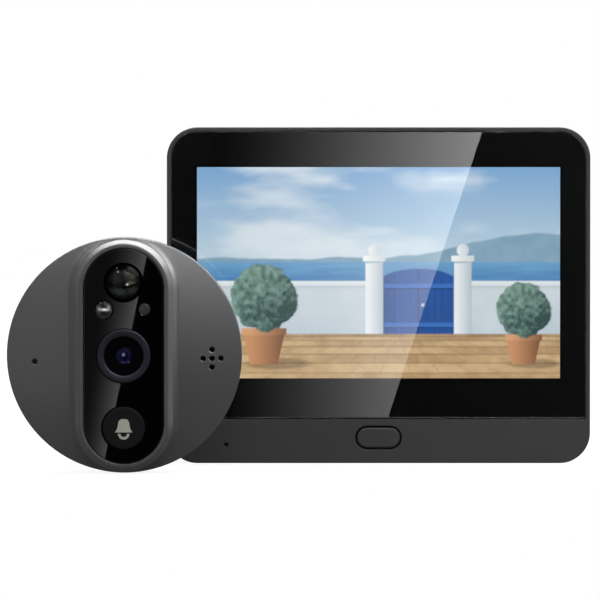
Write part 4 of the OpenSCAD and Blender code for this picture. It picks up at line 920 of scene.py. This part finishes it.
def keyhole(grow=0.0):
    """Outline of the recess for nut and plug: a pill about the nut, with a square head above it as high as
    the plug."""
    r, half, top = 14.1 + grow, 9.0 + grow, 76.0 + grow
    shoulder = math.acos(half / r)
    a = np.concatenate([np.linspace(shoulder, 0, 14), np.linspace(0, -np.pi, 49),
                        np.linspace(np.pi, np.pi - shoulder, 14)])
    lift = np.r_[np.full(14, NUT_Y), np.full(49, NUT_Y - 5), np.full(14, NUT_Y)]
    out = heading(a)
    points = r * out + np.stack([np.zeros(a.size), lift], 1)
    head = np.array([(-half, top), (half, top)])
    outline = np.concatenate([points, head])[::-1]
    return outline, np.concatenate([out, np.array([(-0.7, 0.7), (0.7, 0.7)])])[::-1]


def monitor_back():
    """The rear cover: an outer skin whose inset follows a quarter ellipse from the seam to the back, full
    at the sides and the top and slight at the foot; a flat back with its openings; and a hollow behind
    it."""
    points, out = case_edge
    draw = out * np.stack([np.ones(len(out)), np.where(out[:, 1] > 0, 1.0, 0.25)], 1)
    a = np.linspace(0, np.pi / 2, 16)
    inset = np.r_[0.22, 0.07, 3.6 * (1 - np.cos(a))]
    height = np.r_[MON_SEAM - 0.02, MON_SEAM - 0.1, (MON_SEAM - 0.25) * (1 - np.sin(a))]
    grid = np.stack([at_height(points - i * draw, z) for i, z in zip(inset, height)])
    wall = 1.8
    slots = [slab(x - 4.3, x + 4.3, y - 6.5, y + 1.8, 0.5, arc=3) for x in (-27, 27) for y in (36, 66)]
    dots = [circle(0.75, (33 + 2.6 * (i + j / 2), 20 + 2.6 * j * math.sqrt(3) / 2), 20)
            for i in range(-2, 3) for j in range(-2, 3) if math.hypot(i + j / 2, j * math.sqrt(3) / 2) <= 2.1]
    wells = [circle(2.1, at, 40) for at in WELLS]
    nest, nest_out = keyhole(), keyhole(1.4)
    hollow = slab(-49.6, 49.6, 2, 82.1, 20, 16, 20)
    through = [sweep(hole, eased(0, wall, 0.2, 0.02, 1, 4)) for hole in slots + dots]
    blind = []
    for hole, floor in [(nest, 6.6)] + [(well, 2.8) for well in wells]:
        profile = np.vstack([eased(0, floor, 0.2, 0.001, 1, 4)[:6], [(0, floor)]])
        blind += [sweep(hole, profile), cap([hole[0]], floor)]
    mouths = [p + 0.2 * o for p, o in slots + dots + [nest] + wells]
    back = cap([grid[-1, :, :2]] + mouths, 0.0)
    inner = cap([hollow[0]] + [p + 0.02 * o for p, o in slots + dots] + [nest_out[0]], wall)
    roof = MON_SEAM - 0.02
    sides = [(0, wall), (0, roof)]
    return [skin(grid), back, inner, *through, *blind, sweep(nest_out, sides), cap([nest_out[0]], roof),
            sweep(hollow, sides), cap([grid[0, :, :2], hollow[0]], roof)]


fit(solid("monitor_back", monitor_back(), MONITOR), charcoal_abs, "monitor", "case_charcoal", "rear_cover")
fit(solid("monitor_back_screws", [s for at in WELLS for s in cross_screw(at, 2.8, 9.0)], MONITOR),
    black_oxide, "monitor", "steel", "cover_screws")
for name, node, width, finish, body, slot in (
        ("door_bracket_pressed", "door_bracket", 0.2, zinc_plate, "bracket", "steel"),
        ("nut_cage_moulded", "nut_cage", 0.2, charcoal_abs, "bracket", "case_charcoal"),
        ("clamp_nut_turned", "clamp_nut", 0.2, turned_brass, "nut", "nut_brass"),
        ("charging_socket_shell", "usb_socket", 0.08, bright_steel, "monitor", "steel"),
        ("power_switch_knob", "power_knob", 0.15, black_epoxy, "power_slider", "switch_black")):
    fit(eased_copy(name, node, width), finish, body, slot, node)

# Finishes of the solids that keep their CAD shape, by name
STAYING = {
    "panel_gasket": black_rubber, "pir_sensor": bright_steel, "led_emitter": silvered_frame,
    "light_sensor": black_epoxy, "lens_holder": black_epoxy, "image_sensor": black_epoxy,
    "bell_plunger": bell_black, "bell_switch": black_epoxy,
    "camera_board": green_mask, "camera_chips": black_epoxy, "ribbon_socket": ivory_nylon,
    "camera_speaker": speaker_paper, "speaker_mesh": woven_mesh, "camera_mic": bright_steel,
    "camera_board_screws": bright_steel, "rear_seal": black_rubber,
    "lcd_backlight": white_diffuser, "key_plunger": charcoal_abs, "key_switch": black_epoxy,
    "monitor_board": green_mask, "monitor_chips": black_epoxy, "battery": silver_pouch,
    "monitor_speaker": speaker_paper, "monitor_mic": bright_steel,
    "power_switch": bright_steel, "cable_socket": ivory_nylon, "board_screws": bright_steel,
}
for name, finish in STAYING.items():
    for place in frame["nodes"][name].material_slots:
        place.material = finish

# Stage: floor, light and camera

scene = bpy.context.scene
scene.view_settings.view_transform = "Standard"


def stage_sheet(name, corners, material, steps=2, **flags):
    """A flat sheet between four corners, lower left and right, upper right and left, by mixing them over u
    and v."""
    u, v = np.meshgrid(np.linspace(0, 1, steps), np.linspace(0, 1, steps))
    a, b, c, d = (np.asarray(corner, float) for corner in corners)
    u, v = u.ravel()[:, None], v.ravel()[:, None]
    points = (1 - v) * ((1 - u) * a + u * b) + v * ((1 - u) * d + u * c)
    mesh = bpy.data.meshes.new(name)
    mesh.from_pydata(points.tolist(), [], quads(steps, steps, ring_cols=False).tolist())
    mesh.materials.append(material)
    sheet = put(name, mesh)
    for key, value in flags.items():
        setattr(sheet, key, value)
    return sheet, u, v


def ray_kinds(tree):
    """Two outputs: 1 on rays from the view, and 1 on rays that mirrors and clear pieces send on."""
    path = add(tree, "LightPath").outputs
    sent_on = add(tree, "Math", {0: path["Is Glossy Ray"], 1: path["Is Transmission Ray"]},
                  operation="MAXIMUM")
    return path["Is Camera Ray"], sent_on.outputs[0]


floor_white, tree = blank("white_floor_paper")
seen, mirrored = ray_kinds(tree)
deep = add(tree, "SeparateXYZ", {0: add(tree, "TexCoord").outputs["Object"]}).outputs["Y"]
# Mirrors show the floor white behind the object and greyer in front of it
behind = add(tree, "MapRange", {"Value": deep, "From Min": -0.03, "From Max": 0.08,
                                "To Min": 0.3, "To Max": 1.0}, interpolation_type="SMOOTHSTEP").outputs[0]
paper = add(tree, "BsdfDiffuse", {"Color": (0.3, 0.3, 0.3, 1)}).outputs[0]
glow = add(tree, "Emission", {"Color": WHITE, "Strength": 0.87}).outputs[0]
bright = add(tree, "AddShader", {0: paper, 1: glow}).outputs[0]
image = add(tree, "Emission", {"Color": WHITE, "Strength": behind}).outputs[0]
plain = add(tree, "MixShader", {0: mirrored, 1: paper, 2: image}).outputs[0]
mixed = add(tree, "MixShader", {0: seen, 1: plain, 2: bright}).outputs[0]
add(tree, "OutputMaterial", {"Surface": mixed})
FLOOR_X, FLOOR_FRONT, FLOOR_BACK, FLOOR_Z = 1.5, -0.11, 1.8, -1e-5
stage_sheet("floor", [(-FLOOR_X, FLOOR_FRONT, FLOOR_Z), (FLOOR_X, FLOOR_FRONT, FLOOR_Z),
                      (FLOOR_X, FLOOR_BACK, FLOOR_Z), (-FLOOR_X, FLOOR_BACK, FLOOR_Z)], floor_white)

world = bpy.data.worlds.new("white_studio")
world.use_nodes = True
scene.world = world
tree = world.node_tree
tree.nodes.clear()
seen, mirrored = ray_kinds(tree)
deep = add(tree, "SeparateXYZ", {0: add(tree, "TexCoord").outputs["Generated"]}).outputs["Y"]
# White behind and beside the object and dark before it, so that the glass stays black from the front
behind = add(tree, "MapRange", {"Value": deep, "From Min": -0.45, "From Max": 0.35,
                                "To Min": 0.02, "To Max": 1.0}, interpolation_type="SMOOTHSTEP").outputs[0]
level = add(tree, "Mix", {0: mirrored, 2: 0.36, 3: behind}).outputs[0]
level = add(tree, "Mix", {0: seen, 2: level, 3: 1.0}).outputs[0]
sky = add(tree, "Background", {"Color": WHITE, "Strength": level}).outputs[0]
add(tree, "OutputWorld", {"Surface": sky})

OBJECT_MIDDLE = Vector((-0.02, -0.03, 0.04))


def softbox(name, at, size, watts):
    """An area lamp of the given width and height that faces the object's middle."""
    lamp = bpy.data.lights.new(name, "AREA")
    lamp.shape, lamp.energy = "RECTANGLE", watts
    lamp.size, lamp.size_y = size
    box = put(name, lamp)
    box.location = at
    box.rotation_euler = (OBJECT_MIDDLE - Vector(at)).to_track_quat("-Z", "Y").to_euler()
    return box


# Large lamps whose mirror images the graded wall stands in for
for name, at, size, watts in (("key_front", (0.2, -2.75, 1.21), 1.3, 16.5),
                              ("fill_left", (-2.2, -2.0, 0.9), 1.8, 15.0)):
    softbox(name, at, (size, size), watts).visible_glossy = False
# Lamps above and behind, for the edges
softbox("top", (0.3, 0.4, 1.13), (1.8, 0.5), 7.0)
softbox("back_right", (1.1, 0.25, 0.46), (0.7, 0.9), 6.0)
softbox("back_left", (-1.2, 1.4, 0.9), (1.8, 1.8), 6.0)
# Small lamps for the glints in the lenses, which light nothing else
for name, at, size, watts in (("glint_left", (-0.538, -0.782, 0.877), 0.13, 2.1),
                              ("glint_left_high", (-0.597, -0.433, 1.056), 0.1, 0.85)):
    softbox(name, at, (size, size), watts).visible_diffuse = False


def glow_card(name, corners, strength):
    """A card that only mirrors show: its glow is strength(u, v) over its own points."""
    material, tree = blank(name)
    amount = add(tree, "Attribute", attribute_name="Glow").outputs["Fac"]
    light = add(tree, "Emission", {"Color": WHITE, "Strength": amount}).outputs[0]
    add(tree, "OutputMaterial", {"Surface": light})
    card, u, v = stage_sheet(name, corners, material, 48, visible_camera=False, visible_diffuse=False,
                             visible_shadow=False)
    values = np.broadcast_to(strength(u, v), u.shape).ravel().astype(np.float32)
    card.data.attributes.new("Glow", "FLOAT", "POINT").data.foreach_set("value", values)


def before(corners):
    """Corners in mm on a plane well before the object, in metres."""
    return [(x * MM, -2.405, z * MM) for x, z in corners]


def monitor_sheen(u, v):
    """Glow of the card before the monitor: it rises with the square of the way across, which widens
    upwards."""
    return 2.7 * (u * (100.5 + 74.0 * v) / 154.0) ** 2


def panel_sheen(u, v):
    """Glow of the card before the camera's panel: faint for the first 30 mm across, then rising to its
    right edge."""
    width = 46.6 + 9.6 * v
    return 0.1 + (1.4 + 0.25 * v) * np.maximum((u * width - 30) / (width - 30), 0) ** 2.2


def crest_glow(u, _):
    """Glow of the strip overhead: a bell about the point over the camera, steep to the left and long to the
    right."""
    off = u - 0.42
    return 26.0 * np.where(off < 0, np.exp(-(np.abs(off) / 0.3) ** 3.5), np.exp(-(off / 0.75) ** 2))


# The long slanting sheen on the monitor's glass and the short one on the camera's panel
glow_card("sheen_card_monitor", before([(-75.4, -125), (25.1, -125), (99.1, 100), (-75.4, 100)]), monitor_sheen)
glow_card("sheen_card_panel", before([(-187.7, -140), (-141.1, -140), (-105.8, 30), (-162, 30)]), panel_sheen)
# The bright band over the camera's ridge: a long strip overhead, brightest above the camera
CREST_Z = 1.15
glow_card("crest_card", [(-1.4, -0.06, CREST_Z), (2.2, -0.06, CREST_Z), (2.2, 0.34, CREST_Z),
                         (-1.4, 0.34, CREST_Z)], crest_glow)
# Its wing on the right, dimmer towards the viewer, for the outer part of the ridge there
glow_card("crest_wing_right", [(0.1, -1.1, CREST_Z), (2.4, -1.5, CREST_Z), (2.4, -0.07, CREST_Z),
                               (0.1, -0.07, CREST_Z)],
          lambda u, v: 13.0 * v * np.minimum(u / 0.15, 1) * (1 - 0.5 * u))

WALL_X, WALL_Y, WALL_LOW, WALL_TOP = 3.0, -2.6, -2.6, 3.5


def graded_wall(u, v):
    """Glow of the wall behind the viewer by the place on the camera's dome that mirrors it, in mm: it rises
    e-fold every 9.5 mm up the dome, more on the right than on the left, with a faint even glow on the left;
    dark round the axis, where the flat glass would mirror it."""
    x, z = WALL_X * (2 * u - 1), WALL_LOW + (WALL_TOP - WALL_LOW) * v
    across = 51 * (np.arctan((x + 0.065) / 2.545) + 0.025)
    up = 51 * (np.arctan((z - 0.03) / np.hypot(x + 0.065, 2.545)) + 0.03)
    rise = 0.058 * np.exp(0.105 * np.minimum(up, 36)) * (0.2 + 5.3 / (1 + np.exp(-(across - 3.5) / 4)))
    left = 0.75 * np.exp(-0.012 * up) / (1 + np.exp((across + 8) / 4))
    return (rise + left) * (1 - np.exp(-(x / 0.35) ** 4 - ((z + 0.03) / 0.28) ** 4))


glow_card("graded_wall", [(-WALL_X, WALL_Y, WALL_LOW), (WALL_X, WALL_Y, WALL_LOW), (WALL_X, WALL_Y, WALL_TOP),
                          (-WALL_X, WALL_Y, WALL_TOP)], graded_wall)
# A dim card on the right between that wall and the lamps behind
glow_card("side_card_right", [(WALL_X, WALL_Y, -0.6), (2.2, 0.3, -0.6), (2.2, 0.3, 2.4),
                              (WALL_X, WALL_Y, 2.4)],
          lambda u, v: 0.2 + 0.5 * v)

target = Vector((-20.56, -5.5, 42.74)) * MM
tilt = math.radians(1.7)
view = bpy.data.cameras.new("view")
view.lens, view.sensor_width, view.clip_end = 412.7, 36.0, 20.0
eye = put("view", view)
eye.location = target + Vector((0, -math.cos(tilt), math.sin(tilt))) * 1.8
eye.rotation_euler = (math.pi / 2 - tilt, 0, 0)
scene.camera = eye
